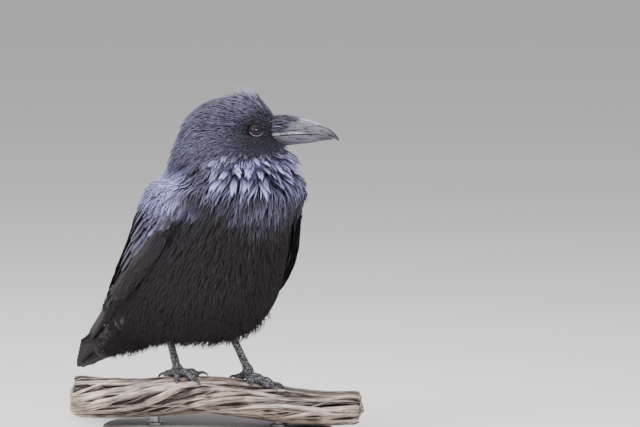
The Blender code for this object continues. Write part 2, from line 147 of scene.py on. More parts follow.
class RavenPlumage(bpy.types.PropertyGroup):
    black: colour_setting("Black", "Ground colour of the plumage", (0.028, 0.0262, 0.031))
    # The sheen colour is painted into the base colour: the feathers' own violet-blue tint and painted
    # reflection of the sky light.
    sheen: colour_setting("Sheen", "Violet-blue of the hackles, mantle and shoulders", (0.28, 0.278, 0.54))
    brown: colour_setting("Belly", "Matte brown-black of the belly and flanks", (0.0245, 0.0208, 0.0232))
    edge: colour_setting("Edge", "Worn grey-brown edges of the wing feathers", (0.27, 0.25, 0.26))
    body_depth: length_setting("Coat depth", "Depth of the coat on the trunk", 7, 2, 15)
    wing_depth: length_setting("Wing coat depth", "Depth of the feathers on the folded wings", 3, 1, 6)
    head_depth: length_setting("Head coat depth", "Depth of the coat on the head", 2.6, 0.5, 8)
    crest_depth: length_setting("Crest depth", "Depth of the coat under the tuft of the crown", 6.5, 1, 12)
    seed: IntProperty(name="Seed", description="Seed of all that varies between feathers", default=7, min=0)


class RavenFace(bpy.types.PropertyGroup):
    eye_length: length_setting("Eye opening length", "Length of the gap between the lids", 12.4, 5, 15)
    eye_height: length_setting("Eye opening height", "Height of the gap between the lids", 7.8, 3, 12)
    lid_rim: length_setting("Lid rim", "Thickness of the lids' bare rim", 0.55, 0.2, 2)
    iris: colour_setting("Iris", "Colour of the iris", (0.018, 0.0095, 0.019))
    horn: colour_setting("Bill", "Colour of the bill", (0.07, 0.069, 0.088))


class RavenLegs(bpy.types.PropertyGroup):
    scale_colour: colour_setting("Scales", "Colour of the scaled legs", (0.0125, 0.0118, 0.0155))
    plate: length_setting("Plate length", "Length of a plate on the front of the tarsus", 3.3, 1, 6)
    groove: length_setting("Groove", "Depth of the grooves between plates", 1.0, 0, 1.5)


class RavenPerch(bpy.types.PropertyGroup):
    light: colour_setting("Worn wood", "Colour of the weathered ridges", (0.84, 0.73, 0.65))
    # The crevice colour is painted shade deep between the strands.
    crevice_shade: colour_setting("Crevice", "Colour deep between the strands", (0.012, 0.008, 0.007))
    groove: length_setting("Groove", "Depth of the grooves between the grown-together strands", 8, 0, 12)
    strands: IntProperty(name="Strands", description="Roots that wind round the wood", default=58, min=0,
                         max=90)
    strand_radius: length_setting("Strand radius", "Radius of the thickest roots", 4.6, 1, 9)


class RavenStage(bpy.types.PropertyGroup):
    paint: colour_setting("Stand paint", "Satin paint of the stand's base", (0.5, 0.48, 0.45))
    floor: colour_setting("Floor", "Colour of the floor", (0.75, 0.73, 0.71))
    lens: FloatProperty(name="Lens", description="Focal length of the camera in mm", default=500, min=20)
    distance: FloatProperty(name="Distance", description="From the camera to the bird", subtype="DISTANCE",
                            default=8.89, min=0.5)
    azimuth: FloatProperty(name="Azimuth", description="Turn of the camera round the bird", subtype="ANGLE",
                           default=math.radians(55))
    elevation: FloatProperty(name="Elevation", description="Height of the camera above the horizon",
                             subtype="ANGLE", default=math.radians(6))


GROUPS = {
    "raven_plumage": RavenPlumage,
    "raven_face": RavenFace,
    "raven_legs": RavenLegs,
    "raven_perch": RavenPerch,
    "raven_stage": RavenStage,
}


# ---- materials
class Value:
    """A shader socket whose arithmetic adds Math nodes."""

    def __init__(self, finish, socket):
        self.finish = finish
        self.socket = socket

    def maths(self, operation, *others, clamp=False):
        settings = {"operation": operation, "use_clamp": clamp}
        return self.finish.node("ShaderNodeMath", settings, dict(enumerate((self, *others))))

    def __add__(self, other):
        return self.maths("ADD", other)

    def __mul__(self, other):
        return self.maths("MULTIPLY", other)

    def __sub__(self, other):
        return self.maths("SUBTRACT", other)

    def __pow__(self, other):
        return self.maths("POWER", other)

    def __rsub__(self, other):
        return self.finish.node("ShaderNodeMath", {"operation": "SUBTRACT"}, {0: other, 1: self})

    __radd__ = __add__
    __rmul__ = __mul__

    def clamped(self):
        return self.maths("ADD", 0.0, clamp=True)

    def wave(self):
        """The sine of the value, counted in full turns."""
        return (self * math.tau).maths("SINE")


class Finish:
    """A material under construction."""

    def __init__(self, name):
        self.material = bpy.data.materials.new(name)
        self.material.use_nodes = True
        self.tree = self.material.node_tree
        self.shader = self.tree.nodes["Principled BSDF"]

    def node(self, kind, settings=None, inputs=None, output=0):
        """Adds a node, its settings first, then the values or links of its sockets."""
        made = self.tree.nodes.new(kind)
        for key, value in (settings or {}).items():
            if key == "stops":
                for _ in range(len(value) - 2):
                    made.color_ramp.elements.new(0.5)
                for stop, (place, colour) in zip(made.color_ramp.elements, value):
                    stop.position = place
                    stop.color = (*colour, 1)
            else:
                setattr(made, key, value)
        for key, value in (inputs or {}).items():
            self.feed(made.inputs[key], value)
        return Value(self, made.outputs[output])

    def feed(self, socket, value):
        if isinstance(value, Value):
            self.tree.links.new(value.socket, socket)
        elif socket.type == "RGBA" and len(value) == 3:
            socket.default_value = (*value, 1)
        else:
            socket.default_value = value

    def surface(self, **values):
        """Feeds the Principled shader's sockets, named with _ for a space."""
        for key, value in values.items():
            self.feed(self.shader.inputs[key.replace("_", " ")], value)
        return self.material

    def attribute(self, name, part=None):
        """A named attribute's value, or its x, y or z."""
        found = self.node("ShaderNodeAttribute", {"attribute_name": name}, output="Vector" if part else "Fac")
        return self.part(found, part) if part else found

    def part(self, vector, part):
        return self.node("ShaderNodeSeparateXYZ", None, {0: vector}, "XYZ".index(part.upper()))

    def place(self):
        return self.node("ShaderNodeTexCoord", output="Object")

    def stretched(self, vector, scale, turn=(0, 0, 0)):
        return self.node("ShaderNodeMapping", None, {"Vector": vector, "Scale": scale, "Rotation": turn})

    def noise(self, vector, scale, detail=3.0, roughness=0.55):
        return self.node("ShaderNodeTexNoise", None,
                         {"Vector": vector, "Scale": scale, "Detail": detail, "Roughness": roughness})

    def mix(self, share, first, second):
        """A blend of two colours."""
        return self.node("ShaderNodeMix", {"data_type": "RGBA"}, {0: share, 6: first, 7: second}, 2)

    def scaled(self, colour, factor):
        """A colour made lighter or darker by a value."""
        return self.node("ShaderNodeVectorMath", {"operation": "SCALE"}, {0: colour, "Scale": factor})

    def fine(self, height, strength, distance):
        """Fine relief from a height, this many mm deep."""
        return self.node("ShaderNodeBump", None,
                         {"Height": height, "Strength": strength, "Distance": distance * MM})


def plumage_colour(finish, shade):
    """The coat's colours on skin and feathers: black, brown on the belly, and violet sheen painted into the
    colour.
    """
    plumage = bpy.context.scene.raven_plumage
    painted_sheen, warm, own = (finish.attribute("zone", part) for part in "xyz")
    ground = finish.mix(warm, tuple(plumage.black), tuple(plumage.brown))
    return finish.scaled(finish.mix((painted_sheen * (0.5 + own)).clamped(), ground, tuple(plumage.sheen)), shade)


def skin_finish(finish):
    grain = finish.noise(finish.place(), 900)
    colour = plumage_colour(finish, 0.35 + 0.3 * grain)
    return finish.surface(Base_Color=colour, Roughness=0.85, Specular_IOR_Level=0.2,
                          Normal=finish.fine(grain, 0.3, 0.3))


def feather_finish(finish, barbs, contrast, roughness, specular, root, vary):
    """Feathers: barbs slant off a shaft, each feather has its own shade, and painted shade darkens it towards
    its root.
    """
    across, along = (finish.attribute("vane", part) for part in "xy")
    own, painted_sheen, dull = (finish.attribute("zone", part) for part in "zxy")
    off = (across - 0.5).maths("ABSOLUTE") * 2
    lines = (along * barbs - off * 5.0).wave() * 0.5 + 0.5
    shaft = 1 - (off * 7.0).clamped()
    # Painted shade: darker towards the root, where the feathers over it shadow it.
    tip = (along ** 1.6) * (1.35 - root) + root
    stripes = (across * 4.5 + along * 0.7 + own * 3.0).wave()
    own_shade = 1 - 0.5 * vary + own * vary
    shade = tip * (1 - contrast * 0.5 * lines) * (1 - 0.55 * contrast * stripes) * own_shade + shaft * 0.1
    return finish.surface(
        Base_Color=plumage_colour(finish, shade),
        Roughness=(roughness + dull * 0.35 - painted_sheen * 0.06 + lines * 0.08).clamped(),
        Specular_IOR_Level=specular,
        Normal=finish.fine(lines + shaft, 0.35, 0.12),
    )


def strand_finish(finish, vary=1.0):
    """Fine hair-like feathers of head and nape, and the bristles."""
    across, along = (finish.attribute("vane", part) for part in "xy")
    own, dull = finish.attribute("zone", "z"), finish.attribute("zone", "y")
    # Painted shade: each strand is darker towards its root, among its neighbours.
    shade = (0.25 + along * 1.05) * (1 - 0.9 * vary + own * (1.8 * vary)).maths("MAXIMUM", 0.04)
    barbs = (across * 5.0 + along * 2.0).wave()
    return finish.surface(Base_Color=plumage_colour(finish, shade), Roughness=(0.36 + dull * 0.44).clamped(),
                          Specular_IOR_Level=0.5, Normal=finish.fine(barbs, 0.25, 0.08))


def flight_finish(finish, pale=1.1, shine=0.34):
    """Wing and tail feathers: dark vanes with a fine shaft, thin worn paler edges, painted sheen, and painted
    shade towards the root.
    """
    plumage = bpy.context.scene.raven_plumage
    across, along = (finish.attribute("vane", part) for part in "xy")
    own, painted_sheen = finish.attribute("zone", "z"), finish.attribute("zone", "x")
    off = (across - 0.5).maths("ABSOLUTE") * 2
    lines = (along * 120.0 - off * 9.0).wave() * 0.5 + 0.5
    wear_and_sheen = finish.noise(finish.place(), 210)
    rim = ((off ** 7.0 + along ** 18.0) * pale * (wear_and_sheen * 2.6 - 0.75)).clamped()
    shaft = 1 - (off * 14.0).clamped()
    # The sheen is painted into the colour in patches, from the same noise that wears the edges.
    ground = finish.mix((painted_sheen * (0.2 + wear_and_sheen * 1.6)).clamped(), tuple(plumage.black), tuple(plumage.sheen))
    # Painted shade: each feather is darker towards its root, under the feathers that lie over it.
    shade = (0.2 + own * 1.4) * (1.05 - 0.25 * lines) * (0.55 + along * 0.6) + shaft * 0.3
    colour = finish.scaled(ground, shade)
    return finish.surface(
        Base_Color=finish.mix(rim, colour, tuple(plumage.edge)),
        Roughness=(shine + wear_and_sheen * 0.16 + rim * 0.2).clamped(),
        Normal=finish.fine(lines * 0.5 + shaft, 0.3, 0.15),
    )


def horn_finish(finish):
    """Bill: slate horn with long fine scratches, and painted highlights, streaked by them, on its ridge and
    edges.
    """
    face = bpy.context.scene.raven_face
    spot = finish.place()
    turn = (0, 0, -math.atan2(HEAD_FORWARD.y, HEAD_FORWARD.x))
    lengthwise = finish.stretched(finish.stretched(spot, (1, 1, 1), turn), (0.1, 1, 1))
    scratch = finish.noise(lengthwise, 620, 5.0, 0.65)
    patch = finish.noise(spot, 120)
    # The worn attribute holds painted highlights and painted reflection, not wear.
    pale, tip = finish.attribute("worn"), finish.attribute("tip")
    shade = ((scratch * 5.5 - 2.4 + patch * 0.8).clamped() * 1.3 + 0.12) * (1.15 - tip * 0.85)
    colour = finish.scaled(tuple(face.horn), shade)
    return finish.surface(
        # The pale colour here is the painted highlight's.
        Base_Color=finish.mix((pale * (scratch * 4.0 - 1.3).clamped()).clamped(), colour, (0.42, 0.41, 0.5)),
        Roughness=(0.2 + scratch * 0.3 + patch * 0.08).clamped(),
        Normal=finish.fine(scratch + patch, 0.5, 0.35),
    )


def claw_finish(finish):
    scratch = finish.noise(finish.place(), 1400)
    return finish.surface(Base_Color=finish.scaled((0.06, 0.062, 0.075), 0.5 + scratch),
                          Roughness=(0.22 + scratch * 0.25).clamped(),
                          Normal=finish.fine(scratch, 0.2, 0.1))


def eye_finish(finish):
    """Eye: a black pupil in a dark brown iris, by the distance from the eye's own axis."""
    face = bpy.context.scene.raven_face
    out = finish.attribute("from_axis")
    rays = finish.noise(finish.place(), 2600)
    pupil = ((out - 0.3) * 26.0).clamped()
    rim = ((out - 0.66) * 14.0).clamped()
    iris = finish.scaled(tuple(face.iris), 0.6 + rays * 0.8)
    colour = finish.mix(pupil, (0.001, 0.001, 0.001), iris)
    return finish.surface(Base_Color=finish.mix(rim, colour, (0.003, 0.003, 0.003)), Roughness=0.07,
                          Specular_IOR_Level=0.3, Coat_Weight=0.1, Coat_Roughness=0.02)


def lid_finish(finish):
    """Bare lid rim: slate grey, paler along its edge, with fine folds."""
    folds = finish.noise(finish.place(), 1500)
    pale = finish.attribute("rim")
    colour = finish.mix((pale * (0.5 + folds)).clamped(), (0.006, 0.006, 0.007), (0.2, 0.19, 0.22))
    return finish.surface(Base_Color=colour, Roughness=0.65, Specular_IOR_Level=0.15,
                          Normal=finish.fine(folds, 0.4, 0.15))


def scale_finish(finish):
    """Legs: slate plates with pale flecks, and painted shade darkening their grooves."""
    legs = bpy.context.scene.raven_legs
    spot = finish.place()
    cells = finish.node("ShaderNodeTexVoronoi", None, {"Vector": spot, "Scale": 620.0})
    dust = finish.noise(spot, 260)
    raised = finish.attribute("raised")
    # Painted shade: the raised value darkens the grooves between plates.
    colour = finish.scaled(tuple(legs.scale_colour), 0.1 + raised * 1.2 + dust * 0.6)
    return finish.surface(
        Base_Color=finish.mix((raised * cells * 2.0 - 0.62).clamped(), colour, (0.27, 0.265, 0.29)),
        Roughness=(0.28 + dust * 0.25).clamped(),
        Normal=finish.fine(cells, 0.9, 0.5),
    )


def wood_finish(finish):
    """Driftwood: silvered ridges, crevices darkened near-black with painted shade, and long fibres that
    follow the strands.
    """
    perch = bpy.context.scene.raven_perch
    around, along = finish.attribute("grain", "x"), finish.attribute("grain", "y")
    spot = finish.node("ShaderNodeCombineXYZ", None, {0: around * 1000, 1: along * 45})
    fibre = finish.noise(spot, 0.5, 7.0, 0.7)
    streak = finish.noise(spot, 0.32, 3.0)
    patch = finish.noise(finish.place(), 45)
    ridge = finish.attribute("ridge")
    height = (ridge * 0.95 + (fibre - 0.5) * 3.2).clamped()
    weathered = finish.mix((patch * 3.0 - 1.0).clamped(), tuple(perch.light), (0.26, 0.225, 0.21))
    warm = finish.mix((streak * 3.6 - 1.5).clamped(), weathered, (0.36, 0.22, 0.14))
    # Painted shade: the crevice colour where the ridge value is low.
    colour = finish.mix(height ** 2, tuple(perch.crevice_shade), warm)
    return finish.surface(
        Base_Color=finish.scaled(colour, 0.5 + fibre),
        Roughness=(0.72 + fibre * 0.2).clamped(),
        Specular_IOR_Level=0.3,
        Normal=finish.fine(fibre, 0.9, 0.8),
    )


def paint_finish(finish):
    """Satin paint with a faint orange peel."""
    peel = finish.noise(finish.place(), 420)
    tone = finish.noise(finish.place(), 14)
    colour = finish.scaled(tuple(bpy.context.scene.raven_stage.paint), 0.94 + tone * 0.12)
    return finish.surface(Base_Color=colour, Roughness=(0.42 + peel * 0.14).clamped(),
                          Normal=finish.fine(peel, 0.15, 0.1))


def rod_finish(finish):
    brushed = finish.noise(finish.stretched(finish.place(), (1, 1, 0.04)), 2400)
    return finish.surface(Base_Color=finish.scaled((0.5, 0.5, 0.51), 0.7 + brushed * 0.5), Metallic=1.0,
                          Roughness=(0.25 + brushed * 0.2).clamped(),
                          Normal=finish.fine(brushed, 0.15, 0.05))


# Each material: the function that builds it, and that function's own settings.
FINISHES = {
    "skin_under_coat": (skin_finish,),
    "fine_feather": (strand_finish,),
    "tuft_feather": (strand_finish, 1.8),
    "throat_hackle": (feather_finish, 30.0, 0.55, 0.42, 0.45, 0.04, 1.1),
    "body_feather": (feather_finish, 26.0, 0.15, 0.65, 0.16, 0.95, 0.3),
    "soft_feather": (feather_finish, 24.0, 0.55, 0.4, 0.5, 0.6, 0.8),
    "flight": (flight_finish,),
    "covert": (flight_finish, 1.5, 0.38),
    "bill_horn": (horn_finish,),
    "claw_horn": (claw_finish,),
    "raven_eye": (eye_finish,),
    "bare_lid": (lid_finish,),
    "leg_scales": (scale_finish,),
    "driftwood_grain": (wood_finish,),
    "stand_paint": (paint_finish,),
    "steel_rod": (rod_finish,),
}


def finish_of(name):
    """The named material, built once."""
    build, *settings = FINISHES[name]
    return bpy.data.materials.get(name) or build(Finish(name), *settings)


# ---- meshes
def new_object(name, mesh):
    obj = bpy.data.objects.new(name, mesh)
    bpy.context.scene.collection.objects.link(obj)
    return obj


def mesh_of(name, points, *face_sets):
    """A mesh from arrays: points, and sets of faces with equally many corners each."""
    mesh = bpy.data.meshes.new(name)
    mesh.vertices.add(len(points))
    mesh.vertices.foreach_set("co", np.ascontiguousarray(points, np.float32).ravel())
    corners = np.concatenate([faces.ravel() for faces in face_sets])
    sizes = np.concatenate([np.full(len(faces), faces.shape[1]) for faces in face_sets])
    mesh.loops.add(len(corners))
    mesh.loops.foreach_set("vertex_index", corners.astype(np.int32))
    mesh.polygons.add(len(sizes))
    mesh.polygons.foreach_set("loop_start", np.concatenate(([0], np.cumsum(sizes)[:-1])).astype(np.int32))
    mesh.update(calc_edges=True)
    mesh.shade_smooth()
    return mesh


def arrays_of(mesh):
    """A mesh's points and vertex normals."""
    points, normals = (np.empty(len(mesh.vertices) * 3, np.float32) for _ in range(2))
    mesh.vertices.foreach_get("co", points)
    mesh.vertices.foreach_get("normal", normals)
    return points.reshape(-1, 3).astype(float), normals.reshape(-1, 3).astype(float)


def set_points(mesh, points):
    mesh.vertices.foreach_set("co", np.ascontiguousarray(points, np.float32).ravel())
    mesh.update()


def set_values(mesh, name, values):
    """Stores a number or a vector for each vertex."""
    kind, key = ("FLOAT", "value") if values.ndim == 1 else ("FLOAT_VECTOR", "vector")
    layer = mesh.attributes.new(name, kind, "POINT")
    layer.data.foreach_set(key, np.ascontiguousarray(values, np.float32).ravel())


def taken_values(mesh, name):
    """A mesh's stored numbers, taken off it."""
    values = np.empty(len(mesh.vertices), np.float32)
    mesh.attributes[name].data.foreach_get("value", values)
    mesh.attributes.remove(mesh.attributes[name])
    return values


def set_bake_map(mesh, spots):
    """Stores each vertex's place on the unwrap as the OFBake map."""
    corners = np.empty(len(mesh.loops), np.int32)
    mesh.loops.foreach_get("vertex_index", corners)
    layer = mesh.uv_layers.new(name="OFBake")
    layer.data.foreach_set("uv", np.ascontiguousarray(spots[corners], np.float32).ravel())


def grid_faces(rows, columns, closed=False):
    """Quads of rows of points, each row a ring, and the last row joined to the first if closed."""
    i, j = np.meshgrid(np.arange(rows if closed else rows - 1), np.arange(columns), indexing="ij")
    here, after, beside = i * columns, (i + 1) % rows * columns, (j + 1) % columns
    return np.stack([here + j, here + beside, after + beside, after + j], axis=-1).reshape(-1, 4)


def merged_copy(name, *nodes, grow=0.0):
    """One new object from copies of the CAD nodes, their loose triangles merged, each grown a little."""
    shape = bmesh.new()
    for node in nodes:
        part = bmesh.new()
        part.from_mesh(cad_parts[node].data)
        bmesh.ops.remove_doubles(part, verts=part.verts, dist=0.005 * MM)
        part.normal_update()
        for vert in part.verts:
            vert.co += vert.normal * grow
        mesh = bpy.data.meshes.new(node)
        part.to_mesh(mesh)
        part.free()
        shape.from_mesh(mesh)
        bpy.data.meshes.remove(mesh)
    mesh = bpy.data.meshes.new(name)
    shape.to_mesh(mesh)
    shape.free()
    mesh.shade_smooth()
    return new_object(name, mesh)


def applied(obj):
    """Turns the object's modifiers into plain mesh."""
    graph = bpy.context.evaluated_depsgraph_get()
    mesh = bpy.data.meshes.new_from_object(obj.evaluated_get(graph))
    obj.modifiers.clear()
    obj.data = mesh
    return obj


def refined(obj, levels):
    """The object's mesh subdivided this many times."""
    finer = obj.modifiers.new("finer", "SUBSURF")
    finer.levels = finer.render_levels = levels
    return applied(obj)


def smoothed(obj, rounds):
    """The object's mesh, with its modifiers applied, smoothed this many times."""
    smooth = obj.modifiers.new("smooth", "SMOOTH")
    smooth.factor = 0.5
    smooth.iterations = rounds
    return applied(obj)


def remeshed(obj, voxel, rounds):
    """A closed even skin over the object's solids, smoothed."""
    skin = obj.modifiers.new("even", "REMESH")
    skin.mode = "VOXEL"
    skin.voxel_size = voxel
    smoothed(obj, rounds).data.shade_smooth()
    return obj


def outwards(mesh):
    """Makes a closed mesh's faces point outwards."""
    shape = bmesh.new()
    shape.from_mesh(mesh)
    bmesh.ops.recalc_face_normals(shape, faces=shape.faces)
    shape.to_mesh(mesh)
    shape.free()
    mesh.shade_smooth()


def dressed(obj, *finishes):
    """Gives the object these finishes and no others, and smooth shading."""
    obj.data.materials.clear()
    for name in finishes:
        obj.data.materials.append(finish_of(name))
    obj.data.shade_smooth()
    return obj


def join(obj, other):
    """Adds the other object's mesh to the first, with its attributes."""
    with bpy.context.temp_override(active_object=obj, selected_editable_objects=[obj, other]):
        bpy.ops.object.join()


def removed(obj):
    mesh = obj.data
    bpy.data.objects.remove(obj)
    bpy.data.meshes.remove(mesh)


def ride(obj, slot, *nodes):
    """The piece rides on the one body and stands for these nodes, which it hides. The slot is not used."""
    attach(obj, "root")
    if nodes:
        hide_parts(*nodes)


class Form:
    """A smooth outer form that feathers follow."""

    def __init__(self, obj):
        self.points, normals = arrays_of(obj.data)
        self.tree = BVHTree.FromObject(obj, bpy.context.evaluated_depsgraph_get())
        corners = [face.vertices[:] for face in obj.data.polygons]
        self.normals = unit(np.array([normals[list(c)].mean(axis=0) for c in corners]))
        self.areas = np.array([face.area for face in obj.data.polygons])
        self.centres = np.array([face.center for face in obj.data.polygons])
        self.corners = corners

    def nearest(self, points):
        """Nearest places on the form and the smooth normals there."""
        places, faces = np.empty_like(points), np.empty(len(points), int)
        for i, point in enumerate(points):
            place, _, face, _ = self.tree.find_nearest(point)
            places[i] = place
            faces[i] = face
        return places, self.normals[faces]

    def distances(self, points):
        """Distance of each point from the form."""
        return np.array([self.tree.find_nearest(point)[3] for point in points])

    def scattered(self, spacing, seed, where, stretch=1.0):
        """Points spread evenly over the form, at least spacing apart, on faces where the weight is over 0.

        The weight, from 0 to 1, thins them out. Up and down they stand apart by stretch times the spacing.
        """
        draw = np.random.default_rng(seed)
        weight = np.clip(where(self.centres, self.normals), 0, 1)
        share = self.areas * weight
        tries = 5
        count = int(share.sum() / spacing**2 * tries / stretch)
        squeeze = np.array((1, 1, 1 / stretch))
        faces = draw.choice(len(share), count, p=share / share.sum())
        mixes = draw.dirichlet((1, 1, 1), count)
        picked, grid = [], {}
        for face, mix in zip(faces, mixes):
            corners = self.points[list(self.corners[face][:3])]
            if draw.random() < 0.5 and len(self.corners[face]) > 3:
                corners = self.points[[self.corners[face][k] for k in (0, 2, 3)]]
            point = mix @ corners * squeeze
            cell = tuple((point // spacing).astype(int))
            near = (
                other
                for x in (-1, 0, 1) for y in (-1, 0, 1) for z in (-1, 0, 1)
                for other in grid.get((cell[0] + x, cell[1] + y, cell[2] + z), ())
            )
            if all(((point - other) ** 2).sum() > spacing**2 for other in near):
                grid.setdefault(cell, []).append(point)
                picked.append((point / squeeze, self.normals[face]))
        return (np.array(column) for column in zip(*picked))


# ---- the bird's regions
def above_crest(points):
    return (points[:, 2] - CREST) / MM


def mottle(points, size):
    """A smooth wandering value from 0 to 1, whose patches are about this far across."""
    x, y, z = (points / size).T
    return 0.5 + 0.5 * np.sin(2.1 * x + 1.3 * y + 2 * np.sin(1.1 * z - 0.7 * y)) * np.cos(1.7 * z - 0.9 * x)


def sheen_line(points):
    """Height over the crest, in mm, where the sheen of the chest gives way to the brown belly."""
    return 154 + 0.5 * np.abs(points[:, 1]) / MM + 14 * (mottle(points, 8 * MM) - 0.5)


def head_share(points):
    """1 on the head, 0 below the crease under its cheeks."""
    reach, _, height = head_local(points).T
    return ramp(height, -27, -17) * ramp(reach, -75, -45)


def crown_share(points):
    """The raised tuft on the crown and forehead."""
    reach, side, height = head_local(points).T
    return bump(reach, -1, 24) * ramp(height, 12, 24) * bump(side, 0, 24)


def face_share(points):
    """Round the eye and before it, where the coat is shortest."""
    reach, _, height = head_local(points).T
    off = np.hypot(np.maximum(np.abs(reach - 9) - 10, 0), height)
    return ramp(off, 22, 9)


def ruff_share(points):
    """Roots of the broad pointed hackles of the throat, round under the head."""
    reach, _, height = head_local(points).T
    return ramp(height, -15, -19) * ramp(height, -42, -36) * ramp(reach, -34, -14)


def chest_share(points):
    """The longer hackles below the ruff, down to the middle of the chest."""
    z, x = above_crest(points), points[:, 0] / MM
    line = sheen_line(points)
    return ramp(z, line - 8, line + 8) * ramp(x, -25, 15) * (1 - head_share(points))


def shoulder_share(points, low=174.0):
    """The soft feathers that drape from the mantle over the top of each folded wing, where zones paints its
    strongest sheen.
    """
    z, x, y = above_crest(points), points[:, 0] / MM, np.abs(points[:, 1]) / MM
    return ramp(z, low, low + 18) * ramp(z, 216, 204) * ramp(y, 20, 34) * ramp(x, 52, 30)


def zones(points, normals, own):
    """Colours at these places: painted sheen, warmth, and each feather's own shade."""
    reach, _, height = head_local(points).T
    z, x = above_crest(points), points[:, 0] / MM
    head = head_share(points)
    line = sheen_line(points)
    chest = ramp(z, line - 18, line + 14) * ramp(x, -40, 0)
    # The mantle, found by faces turned up and back; the sheen painted there stands partly for reflected sky
    # light.
    mantle = ramp(normals[:, 2] - 0.3 * normals[:, 0], -0.1, 0.5) * ramp(z, 70, 195)
    neck = ramp(z, 186, 204)
    ruff = ramp(height, -72, -50) * ramp(reach, -48, -30) * (1 - head)
    # The shoulders get the strongest painted sheen, partly standing for sky light reflected from them.
    painted_sheen = np.maximum.reduce([0.21 * chest, 0.48 * mantle * (1 - 0.4 * neck), 0.19 * neck, 0.75 * ruff,
                               0.85 * shoulder_share(points, 156.0)])
    painted_sheen = painted_sheen * (1 - head) + (0.155 + 0.2 * crown_share(points) * ramp(reach, 10, -8)) * head
    # Less sheen round the eye and on the forehead, and painted shade in the crease under the cheeks.
    painted_sheen = painted_sheen * (1 - face_share(points) * 0.85 * head) * (1 - 0.6 * bump(height, -24, 9) * head)
    painted_sheen = painted_sheen * (1 - 0.5 * bump(reach, 8, 15) * ramp(height, 8, 16) * ramp(height, 38, 30) * head)
    warm = np.maximum(ramp(z, line + 8, line - 12), ramp(z, 100, 60)) * (1 - 0.7 * mantle)
    # No brown where the shoulder's feathers part from the breast.
    warm = warm * (1 - ramp(z, 130, 160) * ramp(np.abs(points[:, 1]) / MM, 20, 36) * ramp(x, 66, 44))
    return np.stack([np.clip(painted_sheen, 0, 1), np.clip(warm, 0, 1), own], axis=1)


def coat_depth(points):
    """How far the skin lies inside the outline."""
    plumage = bpy.context.scene.raven_plumage
    head, crown, face = head_share(points), crown_share(points), face_share(points)
    depth = plumage.body_depth * (1 - head) + plumage.head_depth * head
    depth = depth * (1 - 0.65 * face * head)
    return np.maximum(depth, plumage.crest_depth * crown)


def lie(points, normals):
    """The way the coat lies: away from the bill on the head, down the trunk below it."""
    head, ruff = head_share(points)[:, None], ruff_share(points)[:, None]
    start = np.array(head_point(20, 0, -4))
    hanging = np.array((0.05, 0, -1.0))
    trunk = unit(np.array(TRUNK_DOWN) * (1 - 0.6 * ruff) + hanging * 0.6 * ruff)
    return flattened(unit(points - start) * head + trunk * (1 - head), normals)


def turned(vectors, axes, angles):
    """Each vector turned about its axis."""
    angles = angles[:, None]
    return vectors * np.cos(angles) + np.cross(axes, vectors) * np.sin(angles)


def unwrapped(points, spine):
    """A tube unwrap along a spine through the body: round it, and along it."""
    spine = np.array([crest(p) for p in spine])
    runs = np.diff(spine, axis=0)
    lengths = np.linalg.norm(runs, axis=1)
    starts = np.concatenate(([0], np.cumsum(lengths)))
    best = np.full(len(points), np.inf)
    along, off, heading = np.zeros(len(points)), np.zeros_like(points), np.zeros_like(points)
    for k, (a, run) in enumerate(zip(spine, runs)):
        share = ((points - a) @ run) / lengths[k] ** 2
        held = np.clip(share, 0, 1)
        gap = points - (a + held[:, None] * run)
        distance = np.linalg.norm(gap, axis=1)
        closer = distance < best
        best = np.where(closer, distance, best)
        along = np.where(closer, starts[k] + held * lengths[k], along)
        off = np.where(closer[:, None], gap, off)
        heading = np.where(closer[:, None], run / lengths[k], heading)
    left = unit(np.cross(UP_WAY, heading))
    over = np.cross(heading, left)
    around = np.arctan2((off * left).sum(axis=1), -(off * over).sum(axis=1))
    return np.stack([0.5 + around / math.tau * 0.98, 0.01 + 0.98 * along / starts[-1]], axis=1)


# ---- feathers
STRAND = ((-1, 0), (0, 1), (1, 0))
VANE = ((-1, 0), (-0.5, 0.7), (0, 1), (0.5, 0.7), (1, 0), (0, -0.35))


def outline(kind, t):
    """Half width of a feather along its length, from 0 at the root to 1 at the tip."""
    if kind == "strand":
        return np.clip(0.5 + 1.6 * t, 0, 1) * (1 - 0.96 * t**1.8)
    if kind == "hackle":
        return (0.25 + 0.75 * ramp(t, 0, 0.4)) * np.clip(1 - t**2.4, 0.02, 1) ** 1.1
    if kind == "lance":
        return (0.4 + 0.6 * ramp(t, 0, 0.4)) * np.clip((1.012 - t) / 0.48, 0, 1) ** 0.85
    if kind == "contour":
        round_end = np.sqrt(np.clip(1 - np.clip((t - 0.6) / 0.405, 0, 1) ** 2, 0.004, 1))
        return (0.3 + 0.7 * ramp(t, 0, 0.35)) * round_end
    round_end = np.sqrt(np.clip(1 - np.clip((t - 0.88) / 0.121, 0, 1) ** 2, 0.003, 1))
    return (0.35 + 0.65 * ramp(t, 0, 0.2)) * round_end * (1 - 0.12 * t)


